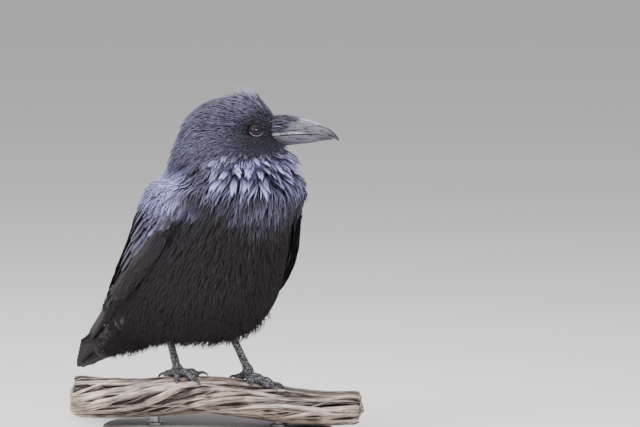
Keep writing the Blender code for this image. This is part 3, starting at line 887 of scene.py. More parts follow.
class Coat:
    """Feathers gathered into one mesh."""

    def __init__(self):
        self.points, self.vanes, self.patches, self.zones = [], [], [], []
        self.quads, self.caps = [], {}
        self.count = 0

    def add(self, paths, ups, halves, thickness, section, rows_at, roots_uv, zone, patch=(PATCH, PATCH)):
        """Closed blades along paths.

        paths, ups: (n, rows, 3); halves, thickness: (n, rows); rows_at: place of each row along the blade;
        roots_uv: (n, 2) middle of each patch; zone: (n, 3) markings; patch: (width, height) of the patches.
        """
        section = np.array(section, float)
        n, rows, _ = paths.shape
        k = len(section)
        ahead = unit(np.gradient(paths, axis=1))
        side = unit(np.cross(ahead, ups))
        over = np.cross(side, ahead)
        points = (
            paths[:, :, None]
            + side[:, :, None] * (section[:, 0][None, None, :] * halves[:, :, None])[..., None]
            + over[:, :, None] * (section[:, 1][None, None, :] * thickness[:, :, None])[..., None]
        )
        start = self.count + np.arange(n)[:, None] * rows * k
        quads = start[:, :, None] + grid_faces(rows, k)[:, (0, 3, 2, 1)]
        self.quads.append(quads.reshape(-1, 4))
        ends = start + np.arange(k), start + (rows - 1) * k + np.arange(k)[::-1]
        self.caps.setdefault(k, []).extend(ends)
        across = np.broadcast_to((section[:, 0] + 1) / 2, (n, rows, k))
        along = np.broadcast_to(np.asarray(rows_at)[None, :, None], (n, rows, k))
        local = np.stack([across, along], axis=-1)
        self.points.append(points.reshape(-1, 3))
        self.vanes.append(np.concatenate([local, np.zeros_like(local[..., :1])], axis=-1).reshape(-1, 3))
        self.patches.append((roots_uv[:, None, None] + (local - 0.5) * np.array(patch)).reshape(-1, 2))
        self.zones.append(np.repeat(zone, rows * k, axis=0))
        self.count += n * rows * k

    def finished(self, name):
        caps = [np.concatenate(sets) for sets in self.caps.values()]
        mesh = mesh_of(name, np.concatenate(self.points), np.concatenate(self.quads), *caps)
        set_values(mesh, "vane", np.concatenate(self.vanes))
        set_values(mesh, "zone", np.concatenate(self.zones))
        set_bake_map(mesh, np.concatenate(self.patches))
        return new_object(name, mesh)

    def worn(self, name, finish, slot="plumage", *nodes):
        """The coat as one piece, in its finish."""
        ride(dressed(self.finished(name), finish), slot, *nodes)

    def grow(self, spacing, seed, where, kind, length, half, ridge, lift, rows_at, section=STRAND,
             spread=0.16, slivers=0, clump=0.0, depth=None, stretch=1.0, lock=1.3):
        """Scatters feathers of one kind over the body's form.

        Measures are in mm; length and lift may be functions of the roots. The seed counts on from the bird's
        own, and the roots lie as deep as the coat unless a depth is given. Slivers split each feather, and
        clump draws neighbours together into locks, this far across, that share a shade.
        """
        seed += bpy.context.scene.raven_plumage.seed
        draw = np.random.default_rng(seed)
        form, _ = Made.body()
        points, normals = form.scattered(spacing * MM, seed, where, stretch)
        n = len(points)

        def sized(value):
            return (value(points) if callable(value) else np.full(n, value)) * MM

        lengths = sized(length) * draw.uniform(0.82, 1.18, n)
        halves, lifts = sized(half) * draw.uniform(0.85, 1.15, n), sized(lift) * draw.uniform(0.4, 1.5, n)
        locks = mottle(points, lock * MM) - 0.5
        yaws = draw.normal(0, spread, n) + clump * 0.5 * locks
        lifts = lifts * (1 + clump * locks)
        own = np.clip(draw.normal(0.5, 0.22, n) + clump * 0.8 * locks, 0, 1)
        rows_at = np.array(rows_at)
        depths = coat_depth(points) if depth is None else sized(depth)
        uv = unwrapped(points, BODY_SPINE)
        turn, share, reach = yaws, 1.0, lengths
        for sliver in range(slivers + 1):
            if sliver:
                turn = yaws + draw.choice((-1, 1), n) * draw.uniform(0.08, 0.2, n)
                share, reach = 0.5, lengths * draw.uniform(0.8, 1.02, n)
            raised = lifts + (0.35 * MM if sliver else 0)
            paths, ups = laid(form, points, normals, reach, depths, raised, turn, rows_at)
            if not sliver:
                shown = len(rows_at) * 2 // 3
                zone = zones(paths[:, shown], ups[:, shown], own)
            blade = halves[:, None] * share * outline(kind, rows_at)[None]
            self.add(paths, ups, blade, np.minimum(blade * 0.6, ridge * MM), section, rows_at, uv, zone)


def laid(form, points, normals, lengths, depths, lifts, yaws, rows_at):
    """Paths over the form along the lie of the coat, from its depth at the root to a lift at the tip."""
    rows = len(rows_at)
    paths, ups = (np.empty((len(points), rows, 3)) for _ in range(2))
    at, normal = points, normals
    for row, t in enumerate(rows_at):
        rise = -depths * (1 - t) ** 1.3 + lifts * t**1.5
        paths[:, row] = at + normal * rise[:, None]
        ups[:, row] = normal
        if row < rows - 1:
            heading = turned(lie(at, normal), normal, yaws)
            pace = lengths * (rows_at[row + 1] - t)
            at, normal = form.nearest(at + heading * pace[:, None])
    return paths, ups


class Made:
    """Forms that several pieces share, each built once."""

    forms = {}

    @classmethod
    def body(cls):
        """The outline of head, neck, trunk and wings, with no gaps between them."""
        if "body" not in cls.forms:
            obj = merged_copy("form", "head", "neck", "trunk", "wing_left", "wing_right", grow=0.4 * MM)
            remeshed(obj, 2.3 * MM, 6)
            cls.forms["body"] = (Form(obj), obj.data.copy())
            removed(obj)
        return cls.forms["body"]

    @classmethod
    def node(cls, *nodes):
        """A CAD node's own surface, merged and rounded."""
        if nodes not in cls.forms:
            obj = merged_copy("_".join(nodes), *nodes)
            cls.forms[nodes] = Form(refined(obj, 1))
            removed(obj)
        return cls.forms[nodes]


def on_wings(points):
    """1 on the wings, 0 on head, neck and trunk."""
    wings = np.minimum(Made.node("wing_left").distances(points), Made.node("wing_right").distances(points))
    return (Made.node("head", "neck", "trunk").distances(points) >= wings).astype(float)


def off_wings(points):
    return 1 - on_wings(points)


# ---- skin, lids and legs
def body_skin():
    """The form drawn in by the depth of the coat."""
    plumage = bpy.context.scene.raven_plumage
    obj = new_object("skin", Made.body()[1].copy())
    points, normals = arrays_of(obj.data)
    wing = on_wings(points)
    depth = coat_depth(points) * (1 - wing) + plumage.wing_depth * wing
    set_points(obj.data, points - normals * depth[:, None])
    return smoothed(obj, 4)


def scaled_leg(side_name):
    """A leg with plates down the front of the tarsus and over the toes."""
    legs = bpy.context.scene.raven_legs
    node = "leg_" + side_name
    obj = remeshed(refined(merged_copy(node + "_scaled", node), 1), 0.75 * MM, 2)
    points, normals = arrays_of(obj.data)
    z = points[:, 2]
    hock = points[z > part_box(node)[1].z - 8 * MM].mean(axis=0)
    ankle_z = CREST + 9 * MM
    ankle = points[np.abs(z - ankle_z - 6 * MM) < 2 * MM].mean(axis=0)
    # The plates are counted down the shank from the hock, and over the toes outwards from the ankle.
    shank = ramp(z, ankle_z + 1 * MM, ankle_z + 7 * MM)
    down_shank = (hock[2] - z) / legs.plate
    out_toe = np.linalg.norm(points - ankle, axis=1) / (0.8 * legs.plate)
    front = normals @ np.array((0.85, -0.3 * SIDES[side_name], 0.1))
    groove_shank = np.abs(2 * (down_shank % 1) - 1) ** 5 * ramp(front, -0.3, 0.4)
    groove_toe = np.abs(2 * (out_toe % 1) - 1) ** 4 * ramp(normals[:, 2], -0.3, 0.4)
    groove = groove_shank * shank + groove_toe * (1 - shank)
    knuckle = 0.5 * MM * (1 - shank) * np.cos(out_toe * math.tau / 4)
    set_points(obj.data, points + normals * ((0.35 - groove) * legs.groove + knuckle)[:, None])
    return obj, 1 - groove


def eye_middle(side_name):
    return middle_of("eye_" + side_name) + (HEAD_FORWARD * 2.2 + UP * 1.3) * MM


def eye_axis(side):
    return (HEAD_LEFT * side + HEAD_FORWARD * 0.48 + UP * 0.08).normalized()


def lid(side_name):
    """A lid ring round the eye: a rounded bare rim, then folds that sink under the face's feathers."""
    face = bpy.context.scene.raven_face
    side = SIDES[side_name]
    middle, axis = eye_middle(side_name), eye_axis(side)
    right = UP.cross(axis).normalized() * side
    over = axis.cross(right).normalized()
    if over.z < 0:
        over.negate()
    rim, steps = face.lid_rim, 40
    # From the inner edge over the rim and out under the coat: angle beyond the gap, height over the ball.
    section = ((0.0, 0.15), (0.02, 0.85), (0.07, 1.15), (0.13, 1.0), (0.2, 0.62), (0.3, 0.85), (0.42, 0.6),
               (0.62, 0.3), (0.8, -0.9), (0.7, -2.2), (0.3, -0.4), (0.06, 0.02))
    points, rims = [], []
    for i in range(steps):
        turn = math.tau * i / steps
        along, up = math.cos(turn), math.sin(turn)
        pinch = 1 - 0.1 * abs(along) ** 6
        reach = math.hypot(face.eye_length / 2 * along, face.eye_height / 2 * up * pinch) / EYE_BALL
        heading = Vector((face.eye_length * along, face.eye_height * up * pinch)).normalized()
        gap = math.asin(min(reach, 0.95))
        for j, (beyond, height) in enumerate(section):
            angle = gap + beyond
            radius = EYE_BALL + 0.15 * MM + height * rim
            out = axis * math.cos(angle) + (right * heading.x + over * heading.y) * math.sin(angle)
            points.append(middle + out * radius)
            rims.append((1.0 if j in (1, 2, 3) else 0.0) * (0.05 + 0.95 * max(-up, 0.0) ** 0.6))
    mesh = mesh_of("lid_" + side_name, np.array(points), grid_faces(steps, len(section), closed=True))
    set_values(mesh, "rim", np.array(rims))
    outwards(mesh)
    return refined(new_object("lid_" + side_name, mesh), 1)


class RAVEN_OT_skin(bpy.types.Operator):
    """One skin for head, neck, trunk, wings and legs, with the lids"""
    bl_idname = "raven.skin"
    bl_label = "Skin, lids and legs"

    def execute(self, context):
        obj = body_skin()
        legs = []
        for side_name in SIDES:
            leg, heights = scaled_leg(side_name)
            legs.append((Form(leg), leg, heights))
            union = obj.modifiers.new(side_name, "BOOLEAN")
            union.operation = "UNION"
            union.solver = "MANIFOLD"
            union.object = leg
            applied(obj)
        mesh = obj.data
        points, normals = arrays_of(mesh)
        raised, on_leg = np.ones(len(points)), np.zeros(len(points), bool)
        top_of_legs, touching = CREST + 75 * MM, 0.05 * MM
        for form, leg, heights in legs:
            low = np.flatnonzero(points[:, 2] < top_of_legs)
            hit = low[form.distances(points[low]) < touching]
            on_leg[hit] = True
            for i in hit:
                face = form.tree.find_nearest(points[i])[2]
                raised[i] = heights[list(form.corners[face])].mean()
            removed(leg)
        # The raised value paints shade into the leg's grooves.
        set_values(mesh, "raised", raised)
        set_values(mesh, "zone", zones(points, normals, np.full(len(points), 0.5)))
        finishes = ("skin_under_coat", "leg_scales", "bare_lid")
        dressed(obj, *finishes)
        for face in mesh.polygons:
            face.material_index = int(all(on_leg[v] for v in face.vertices))
        for side_name in SIDES:
            ring = dressed(lid(side_name), *finishes)
            for face in ring.data.polygons:
                face.material_index = 2
            join(obj, ring)
        obj.data.shade_smooth()
        ride(obj, "plumage", "head", "neck", "trunk", "wing_left", "wing_right", "leg_left", "leg_right")
        return {"FINISHED"}


# ---- eyes
class RAVEN_OT_eyes(bpy.types.Operator):
    """Glossy dark brown eyes"""
    bl_idname = "raven.eyes"
    bl_label = "Eyes"

    def execute(self, context):
        for side_name, side in SIDES.items():
            shape = bmesh.new()
            bmesh.ops.create_uvsphere(shape, u_segments=48, v_segments=32, radius=EYE_BALL)
            mesh = bpy.data.meshes.new("eyeball_" + side_name)
            shape.to_mesh(mesh)
            shape.free()
            points, _ = arrays_of(mesh)
            out = np.hypot(points[:, 0], points[:, 1]) / EYE_BALL
            front = points[:, 2] > 0
            cornea, cornea_reach = 0.35 * MM, 0.75
            points[:, 2] += np.where(front, cornea * np.clip(1 - (out / cornea_reach) ** 2, 0, 1), 0)
            turn = np.array(eye_axis(side).to_track_quat("Z", "Y").to_matrix())
            set_points(mesh, points @ turn.T + np.array(eye_middle(side_name)))
            set_values(mesh, "from_axis", np.where(front, out, 1.0))
            ride(dressed(new_object("eyeball_" + side_name, mesh), "raven_eye"), "eye", "eye_" + side_name)
        return {"FINISHED"}


# ---- bill and bristles
def creased(obj, angle, amount):
    """Keeps the object's sharp edges through a subdivision."""
    shape = bmesh.new()
    shape.from_mesh(obj.data)
    layer = shape.edges.layers.float.new("crease_edge")
    for edge in shape.edges:
        if edge.is_manifold and edge.calc_face_angle() > angle:
            edge[layer] = amount
    shape.to_mesh(obj.data)
    shape.free()


def bill_half(name, upper):
    obj = merged_copy(name + "_horn", name)
    creased(obj, math.radians(50), 0.6)
    refined(obj, 2)
    points, normals = arrays_of(obj.data)
    reach, side, height = head_local(points).T
    low, high = reach.min(), reach.max()
    share = (reach - low) / (high - low)
    growth = np.sin(reach * 1.9 + 0.6 * np.sin(height)) * 0.05 * ramp(share, 0.35, 0.6)
    scratch = np.sin(height * 5.1 + side * 2.0 + np.sin(reach * 0.35)) * 0.03
    set_points(obj.data, points + normals * ((growth + scratch) * MM)[:, None])
    if upper:
        marks = np.linspace(low, high, 30)
        edges = [height[np.abs(reach - mark) < 3].min() for mark in marks]
        over_edge = height - np.interp(reach, marks, edges)
        # Painted highlights: sky light on the top of the culmen, and a streak along the cutting edge.
        ridge = ramp(normals[:, 2], 0.3, 0.85) * ramp(share, 0.3, 0.5) * ramp(share, 0.95, 0.7)
        painted_edge_highlight = bump(over_edge, 1.4, 1.6) * ramp(share, 0.62, 0.45) * ramp(share, 0.05, 0.2) * 2.5
    else:
        # Painted reflection on the lower half's underside, and a painted highlight on its upper edges.
        ridge = ramp(normals[:, 2], -0.6, -0.95) * 0.3
        painted_edge_highlight = ramp(normals[:, 2], 0.1, 0.5) * 0.6
    # The worn attribute carries these painted highlights to the bill's finish.
    set_values(obj.data, "worn", np.clip(ridge * 0.8 + painted_edge_highlight, 0, 2))
    set_values(obj.data, "tip", np.maximum(ramp(share, 0.7, 1.0), 0.7 * ramp(share, 0.4, 0.0)))
    ride(dressed(obj, "bill_horn"), "bill", name)


class RAVEN_OT_bill(bpy.types.Operator):
    """Slate bill in its two halves"""
    bl_idname = "raven.bill"
    bl_label = "Bill"

    def execute(self, context):
        bill_half("bill_upper", True)
        bill_half("bill_lower", False)
        return {"FINISHED"}


BRISTLE_ROWS = (0, 0.3, 0.65, 1.0)


def blade_template():
    """A curved closed blade a metre long along +X that bristles are copied from."""
    coat = Coat()
    rows_at = np.array(BRISTLE_ROWS)
    path = np.stack([rows_at, np.zeros(4), 0.1 * np.sin(rows_at * math.pi) - 0.1 * rows_at**2], axis=-1)[None]
    ups = np.tile(UP_WAY, (1, 4, 1))
    half = (0.03 * outline("strand", rows_at))[None]
    coat.add(path, ups, half, half * 0.8, STRAND, rows_at, np.zeros((1, 2)), np.array([[0, 0, 0.5]]))
    return coat.finished("bristle")


def group_node(tree, kind, settings=None, inputs=None):
    """Adds a geometry node with its settings, then its sockets' values or links."""
    made = tree.nodes.new(kind)
    for key, value in (settings or {}).items():
        setattr(made, key, value)
    for key, value in (inputs or {}).items():
        if isinstance(value, bpy.types.NodeSocket):
            tree.links.new(value, made.inputs[key])
        else:
            made.inputs[key].default_value = value
    return made


def node_tree(name, sockets):
    """A geometry node tree with geometry and these sockets in and geometry out, and what is given to it."""
    tree = bpy.data.node_groups.new(name, "GeometryNodeTree")
    for socket, kind in (("Geometry", "Geometry"), *sockets):
        tree.interface.new_socket(socket, in_out="INPUT", socket_type="NodeSocket" + kind)
    tree.interface.new_socket("Geometry", in_out="OUTPUT", socket_type="NodeSocketGeometry")
    return tree, tree.nodes.new("NodeGroupInput").outputs


def ended_tree(tree, geometry, finish):
    """The tree, ended: its instances made real and given their material."""
    real = group_node(tree, "GeometryNodeRealizeInstances", None, {"Geometry": geometry})
    coated = group_node(tree, "GeometryNodeSetMaterial", None,
                        {"Geometry": real.outputs[0], "Material": finish})
    group_node(tree, "NodeGroupOutput", None, {0: coated.outputs[0]})
    return tree


def bristle_tree():
    """Geometry nodes that plant bristles over a surface by its own cover, flow and size attributes."""
    tree, given = node_tree("bristles", (("Spacing", "Float"), ("Density", "Float"), ("Seed", "Int"),
                                         ("Blade", "Object"), ("Finish", "Material")))

    def named(name, kind):
        found = group_node(tree, "GeometryNodeInputNamedAttribute", {"data_type": kind}, {"Name": name})
        return found.outputs[0]

    def random(low, high, seed):
        limits = {2: low, 3: high, "Seed": seed}
        return group_node(tree, "FunctionNodeRandomValue", {"data_type": "FLOAT"}, limits).outputs[1]

    spots = group_node(tree, "GeometryNodeDistributePointsOnFaces", {"distribute_method": "POISSON"}, {
        "Mesh": given["Geometry"], "Distance Min": given["Spacing"], "Density Max": given["Density"],
        "Density Factor": named("cover", "FLOAT"), "Seed": given["Seed"],
    })
    upright = group_node(tree, "FunctionNodeAlignRotationToVector", {"axis": "Z"}, {
        "Vector": spots.outputs["Normal"],
    })
    aimed = group_node(tree, "FunctionNodeAlignRotationToVector", {"axis": "X", "pivot_axis": "Z"}, {
        "Rotation": upright.outputs[0], "Vector": named("flow", "FLOAT_VECTOR"),
    })
    wobble = group_node(tree, "ShaderNodeCombineXYZ", None, {
        "X": random(-0.2, 0.2, 1), "Y": random(-0.04, 0.03, 2), "Z": random(-0.14, 0.14, 3),
    })
    loose = group_node(tree, "FunctionNodeRotateRotation", {"rotation_space": "LOCAL"}, {
        "Rotation": aimed.outputs[0], "Rotate By": wobble.outputs[0],
    })
    length = group_node(tree, "ShaderNodeMath", {"operation": "MULTIPLY"}, {
        0: named("size", "FLOAT"), 1: random(0.35, 1.3, 4),
    })
    blade = group_node(tree, "GeometryNodeObjectInfo", None, {"Object": given["Blade"]})
    planted = group_node(tree, "GeometryNodeInstanceOnPoints", None, {
        "Points": spots.outputs["Points"], "Instance": blade.outputs["Geometry"],
        "Rotation": loose.outputs[0], "Scale": length.outputs[0],
    })
    marked = group_node(tree, "GeometryNodeStoreNamedAttribute", {"data_type": "FLOAT", "domain": "INSTANCE"},
                        {"Geometry": planted.outputs[0], "Name": "own", "Value": random(0, 1, 5)})
    return ended_tree(tree, marked.outputs[0], given["Finish"])


def socket_id(tree, name):
    return next(item.identifier for item in tree.interface.items_tree
                if item.name == name and item.in_out == "INPUT")


def set_inputs(modifier, values):
    for name, value in values.items():
        modifier[socket_id(modifier.node_group, name)] = value


class RAVEN_OT_bristles(bpy.types.Operator):
    """Stiff bristles that cover the nostrils and the gape"""
    bl_idname = "raven.bristles"
    bl_label = "Nasal bristles"

    def execute(self, context):
        obj = refined(merged_copy("nasal_bristles", "bill_upper", grow=0.1 * MM), 1)
        points, normals = arrays_of(obj.data)
        reach, _, height = head_local(points).T
        cover = ramp(reach - 1.3 * height + 6 * (mottle(points, 2 * MM) - 0.5), 26, 8)
        forward = np.array(HEAD_FORWARD)[None] + UP_WAY * np.where(height > 5, 0.05, 0.02)[:, None]
        set_values(obj.data, "cover", cover * ramp(normals[:, 2], -0.45, 0.0))
        set_values(obj.data, "flow", flattened(forward, normals))
        set_values(obj.data, "size", (15 - 4 * ramp(reach, 10, 32)) * MM)
        blade = blade_template()
        modifier = obj.modifiers.new("bristles", "NODES")
        modifier.node_group = bristle_tree()
        set_inputs(modifier, {
            "Spacing": 0.62 * MM, "Density": 2.5e6, "Seed": context.scene.raven_plumage.seed, "Blade": blade,
            "Finish": finish_of("fine_feather"),
        })
        applied(obj)
        removed(blade)
        mesh = obj.data
        points, _ = arrays_of(mesh)
        own = taken_values(mesh, "own")
        for name in ("zone", "cover", "flow", "size"):
            if name in mesh.attributes:
                mesh.attributes.remove(mesh.attributes[name])
        zone = np.stack([0.02 + 0.2 * own**2, np.zeros(len(points)), 0.1 + own * 0.9], axis=1)
        set_values(mesh, "zone", zone)
        corners = len(BRISTLE_ROWS) * len(STRAND)
        roots = points[::corners]
        across, along = np.tile((0, 0.5, 1), len(BRISTLE_ROWS)), np.repeat(BRISTLE_ROWS, len(STRAND))
        local = np.tile(np.stack([across, along], axis=-1), (len(roots), 1))
        reach, side, height = head_local(roots).T
        spots = np.stack([(reach - 5) / 45, 0.5 + np.arctan2(side, height + 8) / math.tau * 1.9], axis=1)
        while mesh.uv_layers:
            mesh.uv_layers.remove(mesh.uv_layers[0])
        set_bake_map(mesh, np.clip(np.repeat(spots, corners, axis=0), 0.01, 0.99) + (local - 0.5) * PATCH)
        mesh.shade_smooth()
        ride(obj, "plumage")
        return {"FINISHED"}


# ---- coat of head, throat and body
class RAVEN_OT_head_coat(bpy.types.Operator):
    """Fine hair-like feathers over the head, raised into a tuft on the crown"""
    bl_idname = "raven.head_coat"
    bl_label = "Head feathers"

    def execute(self, context):
        eyes = [np.array(eye_middle(name) + eye_axis(side) * EYE_BALL * 0.8) for name, side in SIDES.items()]

        def on_head(points, normals):
            bare = 6.9 * MM
            gap = np.minimum(*(np.linalg.norm(points - eye, axis=1) for eye in eyes))
            reach = head_local(points)[:, 0]
            return (gap > bare) * ramp(reach, 29, 24) * (head_share(points) > 0.12)

        def face(points, normals):
            return on_head(points, normals) * ramp(face_share(points), 0.25, 0.6)

        def cap(points, normals):
            return on_head(points, normals) * ramp(crown_share(points), 0.12, 0.3)

        def rest(points, normals):
            return on_head(points, normals) * ramp(face_share(points), 0.6, 0.3)

        def length(points):
            return 9.0 - 4.5 * face_share(points)

        def lift(points):
            return 1 + 6.5 * crown_share(points)

        # Of each bed of feathers: spacing, seed, where, kind, length, half width, ridge, lift, rows.
        rows = (0, 0.3, 0.65, 1.0)
        coat = Coat()
        coat.grow(1.0, 0, face, "strand", 4.4, 0.36, 0.3, 0.6, (0, 0.5, 1.0), spread=0.3, clump=0.5)
        coat.grow(1.35, 11, rest, "strand", length, 0.62, 0.4, 0.5, rows, spread=0.1, clump=0.4)
        coat.worn("head_feathers", "fine_feather")
        coat = Coat()
        coat.grow(1.5, 12, rest, "strand", 9.5, 0.26, 0.25, 1.2, rows, spread=0.2, clump=0.6)
        coat.worn("head_filaments", "fine_feather")
        coat = Coat()
        coat.grow(1.8, 13, cap, "strand", 14.5, 0.85, 0.5, lift, rows, spread=0.38, clump=1.3, lock=2.4)
        coat.worn("crown_tuft", "tuft_feather")
        return {"FINISHED"}


class RAVEN_OT_ruff(bpy.types.Operator):
    """Pointed hackles of the throat and chest"""
    bl_idname = "raven.ruff"
    bl_label = "Throat and chest hackles"

    def execute(self, context):
        def chest(points, normals):
            return chest_share(points) * off_wings(points) * (1 - ruff_share(points))

        def ruff(points, normals):
            return ruff_share(points) * off_wings(points)

        def length(points):
            return 16 + 5 * ramp(head_local(points)[:, 2], -17, -32)

        rows = (0, 0.2, 0.4, 0.56, 0.7, 0.85, 1.0)
        coat = Coat()
        coat.grow(2.7, 1, chest, "lance", 25, 1.7, 0.5, 1.9, rows, slivers=1, clump=0.35, stretch=2.0)
        coat.grow(4.4, 2, ruff, "lance", length, 3.8, 0.5, 4.5, rows, VANE, slivers=1, clump=0.6, stretch=2.4)
        coat.worn("throat_hackles", "throat_hackle")
        return {"FINISHED"}


class RAVEN_OT_body_coat(bpy.types.Operator):
    """Soft feathers of nape, breast, belly and flanks, and rounder ones of the back"""
    bl_idname = "raven.body_coat"
    bl_label = "Body feathers"

    def execute(self, context):
        def back_share(points, normals):
            return ramp(normals[:, 2] - 0.6 * normals[:, 0], 0.1, 0.5) * ramp(above_crest(points), 205, 190)

        def nape(points, normals):
            upper = ramp(above_crest(points), 180, 200) * (head_share(points) < 0.6)
            return upper * (1 - chest_share(points)) * off_wings(points)

        def belly(points, normals):
            lower = (1 - chest_share(points)) * ramp(above_crest(points), 205, 190)
            return lower * (1 - back_share(points, normals)) * off_wings(points)

        def back(points, normals):
            inner = ramp(-np.sign(points[:, 1]) * normals[:, 1], -0.4, 0.1) * ramp(points[:, 0] / MM, 10, -10)
            return np.maximum(back_share(points, normals) * off_wings(points), inner * on_wings(points))

        def scapulars(points, normals):
            return shoulder_share(points)

        def hem(points, normals):
            return ramp(normals[:, 2], -0.25, -0.6) * ramp(above_crest(points), 72, 55) * off_wings(points)

        rows = (0, 0.2, 0.45, 0.7, 0.88, 1.0)
        coat = Coat()
        coat.grow(1.8, 3, nape, "hackle", 12, 0.85, 0.4, 0.7, rows, clump=0.5)
        coat.grow(1.9, 14, nape, "strand", 12, 0.32, 0.25, 1.4, rows[::2], spread=0.2, clump=0.7)
        coat.worn("nape_feathers", "fine_feather")
        coat = Coat()
        coat.grow(2.7, 4, belly, "hackle", 16, 1.9, 0.2, 0.2, rows, depth=2)
        coat.worn("breast_and_belly_feathers", "body_feather")
        coat = Coat()
        coat.grow(2.6, 15, hem, "strand", 19, 0.8, 0.5, 6, rows, spread=0.6)
        coat.grow(1.9, 5, belly, "strand", 11, 0.3, 0.25, 0.6, rows[::2], spread=0.2, depth=1.2)
        coat.worn("belly_down", "body_feather")
        coat = Coat()
        coat.grow(4.3, 6, back, "contour", 24, 4.0, 0.35, 0.8, rows, VANE)
        coat.worn("back_feathers", "soft_feather")
        coat = Coat()
        coat.grow(2.5, 16, scapulars, "hackle", 14, 1.7, 0.4, 2.6, rows, depth=0.6, clump=0.6)
        coat.worn("scapular_feathers", "soft_feather")
        return {"FINISHED"}


# ---- wings
class Wing:
    """The folded wing's own frame.

    A share runs down it from 0 at the shoulder to 1 at its end, and a turn goes round it, from -90 degrees
    at its back edge over its outer face to 90 at its front edge.
    """

    def __init__(self, side_name):
        self.side = SIDES[side_name]
        self.form = Made.node("wing_" + side_name)
        points = self.form.points
        self.middle, self.down = long_axis(points, -UP_WAY)
        outer = self.form.normals @ np.array((0, self.side, 0)) > 0.3
        facing = (self.form.normals * self.form.areas[:, None])[outer].sum(axis=0)
        self.facing = unit(facing - self.down * (facing @ self.down))
        front = np.cross(self.down, self.facing)
        self.front = front if front[0] > 0 else -front
        local = (points - self.middle) @ np.array([self.down, self.front, self.facing]).T
        self.low = local[:, 0].min()
        self.length = local[:, 0].max() - self.low
        # The middle and half size of the wing's cross-section at marks down its length.
        self.marks = np.linspace(0, 1, 25)
        rows = []
        for mark in self.marks:
            near = local[np.abs(local[:, 0] - self.low - self.length * mark) < 9 * MM, 1:]
            low, high = near.min(axis=0), near.max(axis=0)
            rows.append((*((low + high) / 2), *((high - low) / 2)))
        self.rows = np.array(rows)

    def at(self, share, turn, lift):
        """Points over the wing's surface and the ways they face, for arrays of shares, turns and lifts."""
        share, turn, lift = np.broadcast_arrays(share, np.radians(turn), lift)
        shape = share.shape
        share, turn, lift = share.ravel(), turn.ravel(), lift.ravel()
        held = np.clip(share, 0.015, 0.985)
        front, out, wide, thick = (np.interp(held, self.marks, column) for column in self.rows.T)
        start = (
            self.middle + np.outer(self.low + self.length * held, self.down)
            + np.outer(front + (wide + 5 * MM) * np.sin(turn), self.front)
            + np.outer(out + (thick + 5 * MM) * np.cos(turn), self.facing)
        )
        places, normals = self.form.nearest(start)
        places = places + np.outer((share - held) * self.length, self.down) + normals * lift[:, None]
        return places.reshape(*shape, 3), normals.reshape(*shape, 3)


def own_strip(numbers, total):
    """Middles and size of the strips of the unwrap that these of so many long feathers have to themselves."""
    return np.stack([(numbers + 0.5) / total, np.full(len(numbers), 0.5)], axis=1), (0.9 / total, 0.96)


def wing_row(coat, wing, draw, share, count, length, half, lifts, turns, painted_sheen, kind="contour", closing=0.0,
             stack=0.1, strip=None):
    """One row of feathers round the wing, each running down it over the next row's roots.

    length, half and lifts, over the surface at root and tip, are in mm; closing: how far the tips draw
    together; strip: first number and count of the feathers' own strips of the unwrap.
    """
    t = np.linspace(0, 1, 8 if length < 50 else 13)
    k = np.arange(count)
    order = (k + 0.5 + draw.uniform(-0.15, 0.15, count)) / count
    turn = turns[0] + (turns[1] - turns[0]) * order
    start = share + draw.uniform(-0.012, 0.012, count)
    reach = length * MM * draw.uniform(0.93, 1.07, count)
    low, high = lifts[0] * MM, lifts[1] * MM
    lift = low + (high - low) * t[None] + (stack * MM * (count - k))[:, None]
    shares = start[:, None] + reach[:, None] * t / wing.length
    paths, ups = wing.at(shares, turn[:, None] * (1 - closing * t), lift)
    # Each feather's back edge tucks under its neighbour's front edge.
    side = np.cross(unit(np.gradient(paths, axis=1)), ups)
    tuck = -0.2 * np.sign((side * wing.front).sum(axis=2, keepdims=True))
    painted_sheen = painted_sheen * (1 - 0.85 * ramp(turn, 30, 75))
    halves = half * MM * draw.uniform(0.92, 1.08, count)[:, None] * outline(kind, t)[None]
    shine, own = painted_sheen * draw.uniform(0.6, 1.25, count), draw.uniform(0.1, 0.9, count)
    zone = np.stack([shine, np.zeros(count), own], axis=1)
    if strip:
        spots, patch = own_strip(strip[0] + k, strip[1])
    else:
        spots, patch = np.stack([(turn + 110) / 220, 0.03 + 0.92 * start], axis=1), (PATCH, PATCH)
    thick = np.minimum(halves * 0.12, 0.3 * MM)
    coat.add(paths, unit(ups + side * tuck), halves, thick, VANE, t, spots, zone, patch)


def long_feather(coat, root, tip, facing, bow, half, number, total, painted_sheen, own, rows=12):
    """One long flight feather from root to tip, bow and half in mm, with its own strip of the unwrap."""
    rows_at = np.linspace(0, 1, rows)
    t = rows_at[:, None]
    path = root * (1 - t) + tip * t + facing * (bow * MM) * np.sin(math.pi * t)
    ups = unit(np.repeat(facing[None], rows, axis=0))
    halves = half * MM * outline("flight", rows_at)
    thick = np.minimum(halves * 0.15, 0.5 * MM)
    strip, patch = own_strip(np.array([number]), total)
    zone = np.array([[painted_sheen, 0.0, own]])
    coat.add(path[None], ups[None], halves[None], thick[None], VANE, rows_at, strip, zone, patch)


